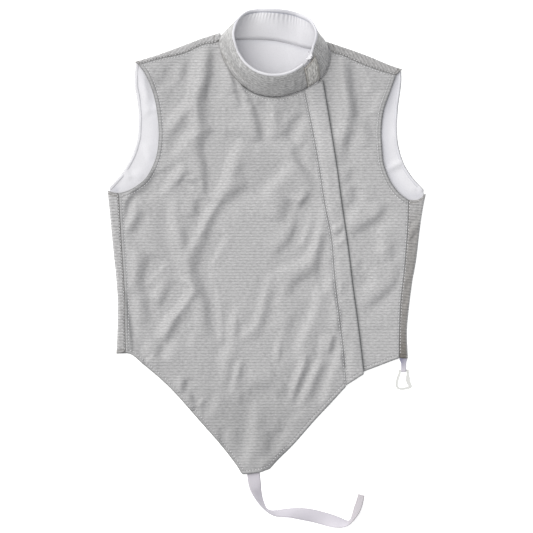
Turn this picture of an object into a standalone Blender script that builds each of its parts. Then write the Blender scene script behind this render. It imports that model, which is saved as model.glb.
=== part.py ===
"""Sleeveless fencing vest of metallic cloth for foil (a lame), lying flat with its front up.

The back lies on the ground and turns over both sides and both shoulders onto the front,
where it is sewn to the two fronts. The fronts lie on the lined back, the stand collar
leans over the neck, and the front zip lies under a flap. The groin strap lies loose on
the ground, and a small hook hangs in an elastic loop at the bottom of one side seam.

X runs across the vest, Y up its length towards the collar, and Z up off the ground. The
origin is on the ground under the middle of the back. Lengths are in millimetres, and MM
turns them to Blender's metres. "Left" and "right" in the names of lines mean -X and +X.
Pieces are named for the wearer's side, so front_right is the one at -X.
"""

import math

import bmesh
import bpy
from mathutils import Matrix, Vector
from mathutils.geometry import delaunay_2d_cdt

MM = 0.001

# Gauges of the cloth and the room between its layers.
BACK_CLOTH = 1.2
LINING_CLOTH = 1.0
FRONT_CLOTH = 1.5
FACING_CLOTH = 0.8
SEAM_GAP = 0.3
HALF_SEAM = SEAM_GAP / 2

# Heights of the layers over the ground, and the roll of the back's two folds.
LINING_UNDER = BACK_CLOTH + SEAM_GAP
LINING_TOP = LINING_UNDER + LINING_CLOTH
FACING_UNDER = LINING_TOP + SEAM_GAP
FOLD_RADIUS = 3.5
FRONT_REST = LINING_TOP + 0.7
FRONT_AT_SEAMS = 2 * FOLD_RADIUS - FRONT_CLOTH
FRONT_AT_NECK = 8.0

# How far from the panels' edges the front is held up by them.
SEAM_REACH = 16.0
NECK_REACH = 24.0
HEM_DROP = 22.0

# Spacing of the points along outlines, and of the grids inside the panels.
EDGE_STEP = 14.0
FINE_STEP = 2.0
GRID_STEP = 20.0
BACK_GRID_STEP = 57.0
ROW_SHARE = 0.87
RIM_SHARE = 0.45
CREASE_STEP = 12.0
MERGE = 0.001
SHARP_ANGLE = math.radians(50)

# How the back's folds are divided, along each fold and round its roll.
SIDE_PARTS = 12
SHOULDER_PARTS = 9
FOLD_PARTS = 6

# How far the lining and the armhole facings lie in from the back's edges.
LINING_INSET = 1.0
LINING_IN_FOLD = 3.4
LINING_HEM_INSET = 9.0
FACING_INSET = 1.2
FACING_WIDTH = 6.5

# Lines of the cut, each from its first named end to its second.
SIDE_FOLD_LEFT = (  # underarm to hem
    (-248.5, 117.5), (-244.5, 73), (-240, 24), (-236, -15), (-233.5, -50), (-233.5, -90), (-235.5, -137),
)
SIDE_FOLD_RIGHT = (
    (249.5, 110.5), (245, 92), (240.5, 60), (234.5, 10), (228, -27), (222, -76), (220, -105), (221.5, -144),
)
SIDE_SEAM_LEFT = ((-232, 111), (-228, 44), (-224, -16), (-222, -56), (-222, -96), (-221, -134.5))
SIDE_SEAM_RIGHT = ((221, 104.5), (220, 64), (217, 4), (213, -56), (210, -106), (209.5, -143.5))
SHOULDER_FOLD_LEFT = (  # armhole to neck
    (-206.5, 321), (-182.5, 328), (-167, 333), (-135.5, 344.5), (-104, 356.5), (-72.3, 366.5),
)
SHOULDER_FOLD_RIGHT = ((212.5, 309), (193.5, 315.5), (162, 328.5), (131, 340), (93.5, 352.5))
SHOULDER_SEAM_LEFT = (
    (-200.5, 316.5), (-167, 326), (-132.5, 333.5), (-104, 346), (-94, 349.5), (-84, 350), (-73.8, 353.5),
)
SHOULDER_SEAM_RIGHT = ((203, 300), (178, 307.5), (146.5, 319), (120, 331.5), (112, 333), (101, 337.5))
FRONT_ARMHOLE_LEFT = (  # shoulder to underarm
    (-200.5, 316), (-188, 298), (-176, 266), (-170, 230), (-169, 198), (-174, 168), (-188, 140),
    (-204, 125), (-219, 115.5), (-231.5, 111),
)
FRONT_ARMHOLE_RIGHT = (
    (203, 299.5), (194, 274), (184, 246), (180, 216), (181, 186), (184, 160), (194, 134), (208, 115), (220.5, 104.5),
)
BACK_ARMHOLE_LEFT = (
    (-205, 318), (-206.5, 286), (-201, 248), (-201, 211), (-206, 186), (-217, 161), (-230, 142), (-246, 122),
)
BACK_ARMHOLE_RIGHT = (
    (211, 306), (211, 286), (206, 248), (204.5, 211), (207.5, 186), (215.5, 161), (229, 138), (247, 115),
)
HEM_LEFT = (  # side seam to groin point
    (-221, -134.5), (-209, -139.5), (-193.5, -153), (-164, -178), (-139, -203), (-106, -240.5), (-73, -278),
    (-48, -310),
)
GROIN_POINT = ((-39, -324), (-33, -325.5), (-10, -322.5), (-2, -319.5), (5, -317))
HEM_RIGHT = (  # groin point to flap
    (18, -303), (43, -278), (76, -240.5), (99.5, -215.5), (125, -187.5),
)
HEM_OF_LEFT_FRONT = ((139, -172.5), (152, -165), (174, -156.5), (192, -149.5), (209.5, -143.5))
BACK_HEM = ((-218, -136), (-205, -138), (-150, -143), (0, -147), (150, -146), (206, -141))
FLAP_SEWN_EDGE = (  # collar to hem
    (59.5, 276.5), (72, 216), (82, 160), (92, 96), (102, 44), (107, -16), (114, -76), (121, -135), (125.3, -186),
)
FLAP_OPEN_EDGE = (
    (88, 291.5), (98, 232), (110, 156), (117, 104), (128, 28), (135, -30), (144, -96), (152.5, -168.5),
)

# The stand collar: its seam on the vest and its top edge, walked clockwise as seen from above,
# from the sewn edge of the flap round to the open one. The height of the top edge is worked out.
COLLAR_HEIGHT = 52.0
COLLAR_BULGE = 3.0
COLLAR_ROWS = (
    # base_x, base_y, base_z, top_x, top_y
    (60, 277.5, 8.0, 54, 314.5),
    (44, 271, 8.0, 40, 306),
    (23, 265.5, 8.0, 22, 301),
    (2, 266, 8.0, 2, 301),
    (-18, 271, 8.0, -17, 307),
    (-36, 283, 8.0, -33, 319),
    (-50, 298, 8.0, -43.5, 334),
    (-61, 320, 8.0, -49.5, 350),
    (-68.5, 338, 7.0, -52, 363),
    (-72.5, 352, 6.5, -50.5, 374),
    (-70.5, 360.5, 3.8, -46.5, 384.5),
    (-62, 360, 0.3, -39.5, 394),
    (-49, 356.5, 0.0, -29, 401),
    (-30, 356, 0.0, -13, 404),
    (-8, 356, 0.0, 4, 404.5),
    (15, 354, 0.0, 20, 403.5),
    (36, 349.5, 0.0, 39, 400.5),
    (54, 344.5, 0.0, 56, 395),
    (71, 341.5, 0.0, 69, 387.5),
    (85, 343.5, 0.5, 76, 376),
    (95, 346.5, 3.5, 78.5, 364.5),
    (99.5, 336, 6.5, 76.5, 354.5),
    (99, 322, 7.0, 73, 346),
    (95, 308, 8.0, 71, 338),
    (86.5, 294.5, 8.0, 68, 330),
    (73, 284, 8.0, 61.5, 321.5),
)
COLLAR_STATIONS = 46
COLLAR_PROBE = 0.004
ROLLED_EDGE = 3.6
ROLL_SHOULDER = 0.985
BAND_CLOTH = 1.3
COLLAR_LINING_DEPTH = BAND_CLOTH + SEAM_GAP

# Where the vest's own corners meet the collar's base, as fractions of its walk.
NECK_CORNER_LEFT = 0.335
BACK_NECK_LEFT = 0.395
BACK_NECK_RIGHT = 0.762
NECK_CORNER_RIGHT = 0.81

# Stretches of the collar, as fractions of its walk round the ring. Its two ends stop at the
# zip, before 0, and the tab covers them. The tab stands off the collar at its upper free corner.
COLLAR_SPAN = (-0.014, 0.936)
ZIP_SPAN = (-0.017, -0.061)
ZIP_RISE = (0.06, 0.35, 0.67, 0.98)
ZIP_DEPTH = 2.2
TAB_SPAN = (-0.012, -0.067)
TAB_LEAN = -0.034
TAB_FLARE = 8.0
TAB_RISE = (0.05, 0.84)
TAB_RISE_MORE = 0.12
TAB_CLOTH = 1.2
TAB_PARTS = 5

# The zip flap and the zip that it covers. `across` is a fraction of the flap's width from its
# sewn edge, and the heights are over the fronts' underside.
FLAP_PARTS = 26
FLAP_ROWS = (
    # across, underside, top
    (0.0, 0.0, 1.5),
    (0.1, 1.6, 3.1),
    (0.22, 2.1, 3.6),
    (0.5, 2.1, 3.6),
    (1.0, 1.9, 3.4),
)
ZIP_ROWS = (
    # across, underside, top
    (0.1, 0.0, 0.8),
    (0.33, 0.0, 0.8),
    (0.35, 0.0, 1.6),
    (0.52, 0.0, 1.6),
    (0.54, 0.0, 0.8),
    (0.77, 0.0, 0.8),
)
LEFT_FRONT_STARTS = 0.8

# The main creases of the fronts, each a soft ridge or trough along a bent line.
CREASES = (
    # start, middle, end, height, half width
    ((-104, 345), (-106, 300), (-99, 262), 4.0, 9.0),
    ((-101, 240), (-103, 190), (-98, 120), 3.2, 10.0),
    ((-50, 285), (-30, 250), (-12, 205), 2.6, 9.0),
    ((-22, 176), (-78, 110), (-117, 38), 3.6, 12.0),
    ((-16, 128), (-86, 62), (-116, 10), -1.2, 10.0),
    ((-117, 5), (-96, -30), (-88, -110), 2.4, 11.0),
    ((-150, 82), (-143, 20), (-124, -35), 2.6, 9.0),
    ((-118, -46), (-142, -76), (-170, -110), 3.4, 8.0),
    ((60, 232), (44, 220), (24, 208), 2.2, 9.0),
    ((80, 46), (60, 8), (22, -22), 4.0, 11.0),
    ((28, 116), (44, 86), (38, 40), 2.0, 11.0),
    ((-2, -30), (-14, -60), (-24, -92), 1.8, 8.0),
    ((66, -84), (48, -112), (26, -150), 2.8, 9.0),
    ((122, 322), (124, 290), (131, 250), 3.4, 8.0),
    ((182, 112), (158, 86), (138, 62), 2.8, 9.0),
    ((150, -88), (178, -82), (202, -90), 2.2, 8.0),
)

# The groin strap, a flat elastic that turns on its edge at two bends.
STRAP_WIDTH = 20.0
STRAP_CLOTH = 1.2
STRAP_CLEARED = STRAP_CLOTH + SEAM_GAP
STRAP_ROWS = (
    # x, y of the middle, degrees of tilt
    (-20.4, -306, 0),
    (-20.4, -325, 0),
    (-19.0, -338, 8),
    (-15.9, -352, 38),
    (-11.2, -364, 58),
    (-6.4, -373, 71),
    (-1.0, -380.2, 80),
    (6.0, -384.6, 76),
    (16.0, -386.6, 62),
    (37.0, -386.0, 46),
    (55.0, -387.6, 24),
    (73.0, -390.6, 7),
    (90.0, -395.0, 5),
    (104.0, -399.0, 20),
    (117.0, -401.8, 44),
    (126.0, -402.0, 66),
    (132.5, -398.4, 78),
    (137.6, -390.0, 68),
    (142.4, -379.0, 58),
    (146.0, -368.0, 60),
    (148.6, -357.5, 62),
)
STRAP_STEP = 5.0

# The side loop and the hook that turns in it. HOOK_AXIS is the middle of the hook's bar.
HOOK_AXIS = (214.9, -162.6, 2.65)
HOOK_BAR = 2.6
HOOK_THICK = 2.2
HOOK_TIP_UNDER = 0.1
HOOK_EDGE = 0.6
HOOK_STEP = 2.5
HOOK_OUTSIDE = (  # from the left arm's root round to the right arm's
    (207.2, -161.3), (206.6, -166.5), (204.2, -172.5), (202.5, -179.5), (202.0, -186.0), (203.8, -190.8),
    (210.5, -193.4), (219.8, -192.5), (226.0, -190.5), (228.0, -187.2), (226.0, -182.6), (224.6, -174.8),
    (223.2, -167.0), (222.8, -161.3),
)
HOOK_INSIDE = (  # from the right arm's root round to the left arm's
    (219.4, -161.3), (219.2, -167.0), (218.3, -173.0), (218.4, -179.4), (220.4, -184.6), (222.4, -187.6),
    (216.0, -189.2), (209.4, -190.0), (206.4, -188.6), (205.6, -185.6), (206.4, -180.0), (208.2, -173.0),
    (210.2, -167.0), (210.4, -161.3),
)
LOOP_CLOTH = 1.0
LOOP_AT_HEM = (208.7, 218.4)
LOOP_AT_BAR = (210.7, 218.9)
LOOP_TAPER = (-158.0, -148.0)
LOOP_LOWER = (  # y and height of the middle of the elastic, from its lower end to the bar
    (-131.0, 3.35), (-138.5, 3.35), (-142.5, 2.7), (-147.0, 1.3), (-152.0, 0.7),
)
LOOP_UPPER = ((-152.0, 4.7), (-131.0, 4.7))
LOOP_TURN_POINTS = 9
BAR_SIDES = 16

MATERIALS = {
    # name: colour, metallic, roughness
    "silver_lame": ((0.47, 0.47, 0.47), 0.35, 0.55),
    "silver_lame_collar": ((0.33, 0.33, 0.32), 0.35, 0.55),
    "white_lining": ((0.78, 0.78, 0.82), 0.0, 0.8),
    "white_elastic": ((0.70, 0.68, 0.74), 0.0, 0.8),
    "zip_tape": ((0.55, 0.55, 0.56), 0.1, 0.6),
    "white_plastic": ((0.80, 0.80, 0.79), 0.0, 0.35),
}


# ---------------------------------------------------------------------------- lines in plan


def bend(a, b, c, d, t):
    """A point at t of the smooth stretch from b to c, in as many coordinates as they have."""
    return tuple(
        0.5 * (2 * q + (r - p) * t + (2 * p - 5 * q + 4 * r - s) * t * t + (3 * q - p - 3 * r + s) * t ** 3)
        for p, q, r, s in zip(a, b, c, d)
    )


def blend(a, b, t):
    """The point t of the way from a to b."""
    return tuple(p + (q - p) * t for p, q in zip(a, b))


def span(first, last, parts):
    """Numbers from first to last, in equal steps."""
    return [first + (last - first) * part / parts for part in range(parts + 1)]


def smooth(points, step):
    """A smooth line through `points`, with its own points about `step` apart."""
    padded = [points[0], *points, points[-1]]
    line = []
    for a, b, c, d in zip(padded, padded[1:], padded[2:], padded[3:]):
        parts = max(1, round(math.dist(b[:2], c[:2]) / step))
        line.extend(bend(a, b, c, d, part / parts) for part in range(parts))
    return [*line, tuple(points[-1])]


def divide(points, parts):
    """The smooth line through `points`, as `parts` equal lengths."""
    fine = smooth(points, FINE_STEP)
    runs = [0.0]
    for a, b in zip(fine, fine[1:]):
        runs.append(runs[-1] + math.dist(a, b))
    line = []
    place = 0
    for wanted in span(0.0, runs[-1], parts):
        while place < len(fine) - 2 and runs[place + 1] < wanted:
            place += 1
        share = (wanted - runs[place]) / (runs[place + 1] - runs[place])
        line.append(blend(fine[place], fine[place + 1], min(1.0, share)))
    return line


def shifted(line, distance):
    """A line in plan moved sideways by `distance`, to its left as it is walked."""
    moved = []
    for index, point in enumerate(line):
        before = line[max(0, index - 1)]
        after = line[min(len(line) - 1, index + 1)]
        along = Vector((after[0] - before[0], after[1] - before[1])).normalized()
        moved.append((point[0] - along.y * distance, point[1] + along.x * distance))
    return moved


def backwards(line):
    """A line walked the other way."""
    return list(reversed(line))


def nearest(x, y, line):
    """How far (x, y) is from a line in plan, and the fraction of the line where it is nearest."""
    best = (math.inf, 0.0)
    count = len(line) - 1
    for index in range(count):
        (ax, ay), (bx, by) = line[index], line[index + 1]
        run_x, run_y = bx - ax, by - ay
        share = ((x - ax) * run_x + (y - ay) * run_y) / (run_x * run_x + run_y * run_y)
        share = min(1.0, max(0.0, share))
        away = math.hypot(x - ax - run_x * share, y - ay - run_y * share)
        best = min(best, (away, (index + share) / count))
    return best


def inside(x, y, outline):
    """Whether (x, y) is inside a closed outline."""
    crossings = 0
    for (ax, ay), (bx, by) in zip(outline, [*outline[1:], outline[0]]):
        if (ay > y) != (by > y) and x < ax + (bx - ax) * (y - ay) / (by - ay):
            crossings += 1
    return crossings % 2 == 1


def hump(distance, reach):
    """1 at no distance, falling softly to nothing past `reach`."""
    return math.exp(-((distance / reach) ** 2))


def ease(t):
    """0 below 0 and 1 above 1, with a soft slope between."""
    t = min(1.0, max(0.0, t))
    return t * t * (3 - 2 * t)


# -------------------------------------------------------------------------- form of the collar


def collar_row(share):
    """The base and the top of the collar at a fraction of its walk round the ring."""
    count = len(COLLAR_ROWS)
    place = (share % 1.0) * count
    first = int(place)
    rows = [COLLAR_ROWS[(first + offset) % count] for offset in (-1, 0, 1, 2)]
    base_x, base_y, base_z, top_x, top_y = bend(*rows, place - first)
    base_z = max(0.0, base_z)
    spread = math.hypot(top_x - base_x, top_y - base_y)
    rise = math.sqrt(max(0.0, COLLAR_HEIGHT ** 2 - spread ** 2))
    return Vector((base_x, base_y, base_z)), Vector((top_x, top_y, base_z + rise))


def collar_point(share, up, depth=0.0):
    """A point `depth` inside the collar's outer face, or outside it where depth is negative."""
    base, top = collar_row(share)
    before_base, before_top = collar_row(share - COLLAR_PROBE)
    after_base, after_top = collar_row(share + COLLAR_PROBE)
    along = after_base.lerp(after_top, up) - before_base.lerp(before_top, up)
    inward = along.cross(top - base).normalized()
    bulge = COLLAR_BULGE * 4 * up * (1 - up) * (top.z - base.z) / COLLAR_HEIGHT
    return base.lerp(top, up) + inward * (depth - bulge)


def collar_foot(first, last, depth, gap):
    """A line in plan along the collar's base, `gap` to the left of what is `depth` inside it."""
    shares = [share for share in span(*COLLAR_SPAN, COLLAR_STATIONS) if first <= share <= last]
    return shifted([collar_point(share, 0.0, depth).xy[:] for share in shares], gap)


# ------------------------------------------------------------------------ form of the fronts

NECK_OF_FRONTS = [
    collar_row(share)[0].xy[:] for share in span(NECK_CORNER_RIGHT - 1, NECK_CORNER_LEFT, COLLAR_STATIONS // 2)
]
SEAM_LINES = [
    smooth(line, 2 * EDGE_STEP)
    for line in (SIDE_SEAM_LEFT, SIDE_SEAM_RIGHT, SHOULDER_SEAM_LEFT, SHOULDER_SEAM_RIGHT)
]
CREASE_LINES = [
    (smooth((start, middle, end), CREASE_STEP), height, width) for start, middle, end, height, width in CREASES
]
BACK_HEM_LINE = smooth(BACK_HEM, 2 * EDGE_STEP)


def crease_height(x, y):
    """What the creases add to the height of the fronts at (x, y)."""
    total = 0.0
    for line, height, width in CREASE_LINES:
        away, share = nearest(x, y, line)
        if away < 3 * width:
            total += height * hump(away, width) * math.sqrt(max(0.0, 4 * share * (1 - share)))
    return total


def past_back_hem(x, y):
    """How far (x, y) is beyond the back's hem, where the fronts lie on the ground."""
    for (ax, ay), (bx, by) in zip(BACK_HEM_LINE, BACK_HEM_LINE[1:]):
        if ax <= x <= bx:
            return max(0.0, ay + (by - ay) * (x - ax) / (bx - ax) - y)
    return 0.0


def under_fronts(x, y):
    """The height of the fronts' underside over the ground at (x, y)."""
    seam = hump(min(nearest(x, y, line)[0] for line in SEAM_LINES), SEAM_REACH)
    neck = hump(nearest(x, y, NECK_OF_FRONTS)[0], NECK_REACH) * (1 - seam)
    drop = ease(past_back_hem(x, y) / HEM_DROP) * (1 - seam)
    creases = crease_height(x, y)
    on_back = max(FACING_UNDER, FRONT_REST + creases)
    on_ground = max(0.0, creases)
    height = on_back + (on_ground - on_back) * drop
    height += (FRONT_AT_SEAMS - height) * seam
    height += (FRONT_AT_NECK - height) * neck
    strap_x, strap_y, _ = STRAP_ROWS[0]
    over_strap = ease(2 - math.hypot(x - strap_x, y - strap_y) / STRAP_WIDTH)
    return max(height, STRAP_CLEARED * over_strap)


# ------------------------------------------------------------------------------ mesh builders


def finish_mesh(name, bm, material):
    """Put a bmesh in an object of its own, in metres, with round stretches smooth."""
    bmesh.ops.scale(bm, vec=(MM, MM, MM), verts=bm.verts)
    mesh = bpy.data.meshes.new(name)
    bm.to_mesh(mesh)
    bm.free()
    mesh.shade_smooth()
    mesh.set_sharp_from_angle(angle=SHARP_ANGLE)
    mesh.materials.append(bpy.data.materials[material])
    obj = bpy.data.objects.new(name, mesh)
    PARTS.objects.link(obj)
    return obj


def loft(name, sections, material):
    """A closed solid through sections of equal length, capped at both ends.

    A section walks across one face of the cloth and back across the other. Both faces are
    split along the same diagonals, so that a twisted stretch keeps its thickness.
    """
    bm = bmesh.new()
    rings = [[bm.verts.new(point) for point in section] for section in sections]
    for ring, following in zip(rings, rings[1:]):
        for index in range(len(ring)):
            after = (index + 1) % len(ring)
            a, b, c, d = ring[index], ring[after], following[after], following[index]
            halves = ((a, b, c), (a, c, d)) if index < len(ring) // 2 else ((a, b, d), (b, c, d))
            for corners in halves:
                bm.faces.new(corners)
    bm.faces.new(rings[0])
    bm.faces.new(rings[-1])
    bmesh.ops.recalc_face_normals(bm, faces=bm.faces)
    return finish_mesh(name, bm, material)


def fill_outline(bm, outline, under, grid):
    """Fill an outline with triangles whose corners are at height under(x, y)."""
    points = [Vector(point[:2]) for point in outline]
    rim = len(points)
    low_x, low_y = (min(values) for values in zip(*outline))
    high_x, high_y = (max(values) for values in zip(*outline))
    closed = [*outline, outline[0]]
    for row, y in enumerate(span(low_y, high_y, round((high_y - low_y) / (grid * ROW_SHARE)))):
        for column in range(round((high_x - low_x) / grid) + 1):
            x = low_x + grid * (column + 0.5 * (row % 2))
            if inside(x, y, outline) and nearest(x, y, closed)[0] > RIM_SHARE * grid:
                points.append(Vector((x, y)))
    edges = [(index, (index + 1) % rim) for index in range(rim)]
    corners, _, triangles, *_ = delaunay_2d_cdt(points, edges, [], 1, MERGE)
    verts = [bm.verts.new((corner.x, corner.y, under(corner.x, corner.y))) for corner in corners]
    return [bm.faces.new([verts[index] for index in triangle]) for triangle in triangles]


def panel(name, outline, under, thickness, material, grid=GRID_STEP):
    """A flat-cut piece of cloth of even thickness, lying on the height under(x, y)."""
    bm = bmesh.new()
    faces = fill_outline(bm, outline, under, grid)
    raised = bmesh.ops.extrude_face_region(bm, geom=faces)["geom"]
    moved = [item for item in raised if isinstance(item, bmesh.types.BMVert)]
    bmesh.ops.translate(bm, vec=(0, 0, thickness), verts=moved)
    bmesh.ops.recalc_face_normals(bm, faces=bm.faces)
    return finish_mesh(name, bm, material)


def add_thickness(obj, thickness, offset):
    """Give an open skin its wall; offset -1 grows it away from the face that it shows."""
    wall = obj.modifiers.new("cloth", "SOLIDIFY")
    wall.thickness = thickness * MM
    wall.offset = offset
    wall.use_even_offset = True


# ----------------------------------------------------------------------------------- the back


def turned_over(fold, seam, parts):
    """Rows of the back's outer face where it turns over a fold, each from the ground to the seam."""
    rows = []
    for start, end in zip(divide(fold, parts), divide(seam, parts)):
        inward = Vector((end[0] - start[0], end[1] - start[1])).normalized()
        row = []
        for angle in span(0.0, math.pi, FOLD_PARTS):
            reach = FOLD_RADIUS * (1 - math.sin(angle))
            height = FOLD_RADIUS * (1 - math.cos(angle))
            row.append((start[0] + inward.x * reach, start[1] + inward.y * reach, height))
        edge = (end[0] - inward.x * HALF_SEAM, end[1] - inward.y * HALF_SEAM, 2 * FOLD_RADIUS)
        rows.append([*row, edge])
    return rows


def lining_edge(fold, seam, parts):
    """The lining's edge inside one of the back's folds."""
    line = []
    for start, end in zip(divide(fold, parts), divide(seam, parts)):
        inward = Vector((end[0] - start[0], end[1] - start[1])).normalized() * LINING_IN_FOLD
        line.append((start[0] + inward.x, start[1] + inward.y))
    return line


def back_outline(side_left, shoulder_left, shoulder_right, side_right, collar_depth, inset, hem_inset):
    """The back's outline in plan, clockwise from the left hem, between the lines of its folds."""
    return [
        *backwards(side_left),
        *backwards(shifted(smooth(BACK_ARMHOLE_LEFT, EDGE_STEP), inset)),
        *shoulder_left,
        *collar_foot(BACK_NECK_LEFT, BACK_NECK_RIGHT, collar_depth, -SEAM_GAP),
        *backwards(shoulder_right),
        *shifted(smooth(BACK_ARMHOLE_RIGHT, EDGE_STEP), -inset),
        *side_right,
        *[(x, y + hem_inset) for x, y in backwards(BACK_HEM_LINE)],
    ]


def back_panel():
    """The back: flat on the ground, and turned over both sides and both shoulders."""
    turns = [
        turned_over(SIDE_FOLD_LEFT, SIDE_SEAM_LEFT, SIDE_PARTS),
        turned_over(SHOULDER_FOLD_LEFT, SHOULDER_SEAM_LEFT, SHOULDER_PARTS),
        turned_over(SHOULDER_FOLD_RIGHT, SHOULDER_SEAM_RIGHT, SHOULDER_PARTS),
        turned_over(SIDE_FOLD_RIGHT, SIDE_SEAM_RIGHT, SIDE_PARTS),
    ]
    starts = [[row[0][:2] for row in rows] for rows in turns]
    bm = bmesh.new()
    fill_outline(bm, back_outline(*starts, BAND_CLOTH, 0.0, 0.0), lambda x, y: 0.0, BACK_GRID_STEP)
    for rows in turns:
        grid = [[bm.verts.new(point) for point in row] for row in rows]
        for row, following in zip(grid, grid[1:]):
            for index in range(len(row) - 1):
                bm.faces.new((row[index], row[index + 1], following[index + 1], following[index]))
    bmesh.ops.remove_doubles(bm, verts=bm.verts, dist=MERGE)
    bmesh.ops.recalc_face_normals(bm, faces=bm.faces)
    lowest = min(bm.faces, key=lambda face: face.calc_center_median().z)
    if lowest.normal.z > 0:
        bmesh.ops.reverse_faces(bm, faces=bm.faces)
    add_thickness(finish_mesh("back_panel", bm, "silver_lame"), BACK_CLOTH, -1)


def back_lining():
    """The lining of the back, which shows at the neck and at both armholes."""
    outline = back_outline(
        lining_edge(SIDE_FOLD_LEFT, SIDE_SEAM_LEFT, SIDE_PARTS)[:-1],
        lining_edge(SHOULDER_FOLD_LEFT, SHOULDER_SEAM_LEFT, SHOULDER_PARTS)[:-1],
        lining_edge(SHOULDER_FOLD_RIGHT, SHOULDER_SEAM_RIGHT, SHOULDER_PARTS)[:-1],
        lining_edge(SIDE_FOLD_RIGHT, SIDE_SEAM_RIGHT, SIDE_PARTS)[:-1],
        COLLAR_LINING_DEPTH + LINING_CLOTH,
        LINING_INSET,
        LINING_HEM_INSET,
    )
    panel("back_lining", outline, lambda x, y: LINING_UNDER, LINING_CLOTH, "white_lining", BACK_GRID_STEP)


def facing(name, armhole, side):
    """The strip of facing inside one back armhole; side is 1 at -X and -1 at +X."""
    line = smooth(armhole, EDGE_STEP)
    outer = shifted(line, side * FACING_INSET)
    inner = shifted(line, side * (FACING_INSET + FACING_WIDTH))
    low, high = FACING_UNDER, FACING_UNDER + FACING_CLOTH
    sections = [[(*a, low), (*b, low), (*b, high), (*a, high)] for a, b in zip(outer, inner)]
    loft(name, sections, "white_lining")


# --------------------------------------------------------------------------------- the fronts


def flap_line(across):
    """The line down the flap at a fraction of its width from the sewn edge."""
    pairs = zip(divide(FLAP_SEWN_EDGE, FLAP_PARTS), divide(FLAP_OPEN_EDGE, FLAP_PARTS))
    return [blend(sewn, free, across) for sewn, free in pairs]


def front_right():
    """The wearer's right front, which carries the groin point and the flap's sewn edge."""
    outline = [
        *collar_foot(0.0, NECK_CORNER_LEFT, 0.0, SEAM_GAP),
        *shifted(backwards(divide(SHOULDER_SEAM_LEFT, SHOULDER_PARTS)), HALF_SEAM),
        *smooth(FRONT_ARMHOLE_LEFT, EDGE_STEP)[1:-1],
        *shifted(divide(SIDE_SEAM_LEFT, SIDE_PARTS), HALF_SEAM),
        *smooth(HEM_LEFT, EDGE_STEP)[1:],
        *smooth(GROIN_POINT, EDGE_STEP),
        *smooth(HEM_RIGHT, EDGE_STEP)[:-1],
        *backwards(shifted(flap_line(0.0), -SEAM_GAP)),
    ]
    panel("front_right", outline, under_fronts, FRONT_CLOTH, "silver_lame")


def front_left():
    """The wearer's left front, from under the flap to the side seam."""
    outline = [
        *flap_line(LEFT_FRONT_STARTS)[1:],
        *smooth(HEM_OF_LEFT_FRONT, EDGE_STEP)[1:-1],
        *shifted(backwards(divide(SIDE_SEAM_RIGHT, SIDE_PARTS)), HALF_SEAM),
        *backwards(smooth(FRONT_ARMHOLE_RIGHT, EDGE_STEP))[1:-1],
        *shifted(divide(SHOULDER_SEAM_RIGHT, SHOULDER_PARTS), HALF_SEAM),
        *collar_foot(NECK_CORNER_RIGHT, 1.0, 0.0, SEAM_GAP),
    ]
    panel("front_left", outline, under_fronts, FRONT_CLOTH, "silver_lame")


def strips_over_fronts(rows):
    """Sections of a strip from the neck to the hem; a row gives its place, underside and top."""
    lines = [(flap_line(across), bottom, top) for across, bottom, top in rows]
    sections = []
    for index in range(FLAP_PARTS + 1):
        low, high = [], []
        for line, bottom, top in lines:
            x, y = line[index]
            under = under_fronts(x, y)
            low.append((x, y, under + bottom))
            high.append((x, y, under + top))
        sections.append([*low, *backwards(high)])
    return sections


def placket():
    """The flap over the zip, sewn to the right front along one edge."""
    loft("placket", strips_over_fronts(FLAP_ROWS), "silver_lame")


def zip_tapes():
    """The closed zip: under the flap, then up the collar between its two ends."""
    first, last = ZIP_ROWS[0][0], ZIP_ROWS[-1][0]
    sections = backwards(strips_over_fronts(ZIP_ROWS)[1:-1])
    for up in ZIP_RISE:
        low, high = [], []
        for across, bottom, top in ZIP_ROWS:
            share = ZIP_SPAN[0] + (ZIP_SPAN[1] - ZIP_SPAN[0]) * (across - first) / (last - first)
            low.append(collar_point(share, up, ZIP_DEPTH - bottom))
            high.append(collar_point(share, up, ZIP_DEPTH - top))
        sections.append([*low, *backwards(high)])
    loft("zip", sections, "zip_tape")


# --------------------------------------------------------------------------------- the collar


def collar_outer():
    """The collar's outer band, which ends under the rolled edge of its lining."""
    rows = span(0.0, 1 - ROLLED_EDGE / COLLAR_HEIGHT, 3)
    sections = []
    for share in span(*COLLAR_SPAN, COLLAR_STATIONS):
        outer = [collar_point(share, up) for up in rows]
        inner = [collar_point(share, up, BAND_CLOTH) for up in rows]
        sections.append([*outer, *backwards(inner)])
    loft("collar_outer", sections, "silver_lame_collar")


def collar_lining():
    """The collar's lining, which rolls over the top edge and down to the outer band."""
    rows = span(0.0, 1 - ROLLED_EDGE / COLLAR_HEIGHT, 3)
    over = rows[-1] + SEAM_GAP / COLLAR_HEIGHT
    near = COLLAR_LINING_DEPTH
    far = near + LINING_CLOTH
    profile = [(up, near) for up in (*rows[:-1], over)]
    profile += [(over, 0.0), (ROLL_SHOULDER, 0.0), (1.0, near / 2), (1.0, near), (ROLL_SHOULDER, far)]
    profile += [(up, far) for up in backwards(rows[:-1])]
    sections = []
    for share in span(*COLLAR_SPAN, COLLAR_STATIONS):
        sections.append([collar_point(share, up, depth) for up, depth in profile])
    loft("collar_lining", sections, "white_lining")


def collar_tab():
    """The tab over the collar's two ends, standing off the collar at its upper free corner."""
    sewn, free = TAB_SPAN
    sections = []
    for across in span(0.0, 1.0, TAB_PARTS):
        inner, outer = [], []
        low, high = TAB_RISE
        for up in span(low, high + TAB_RISE_MORE * across, TAB_PARTS):
            share = sewn + (free - sewn + TAB_LEAN * up) * across
            away = SEAM_GAP + TAB_FLARE * across * up
            inner.append(collar_point(share, up, -away))
            outer.append(collar_point(share, up, -away - TAB_CLOTH))
        sections.append([*inner, *backwards(outer)])
    loft("collar_tab", sections, "silver_lame_collar")


# ------------------------------------------------------------------- the strap, loop and hook


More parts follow.
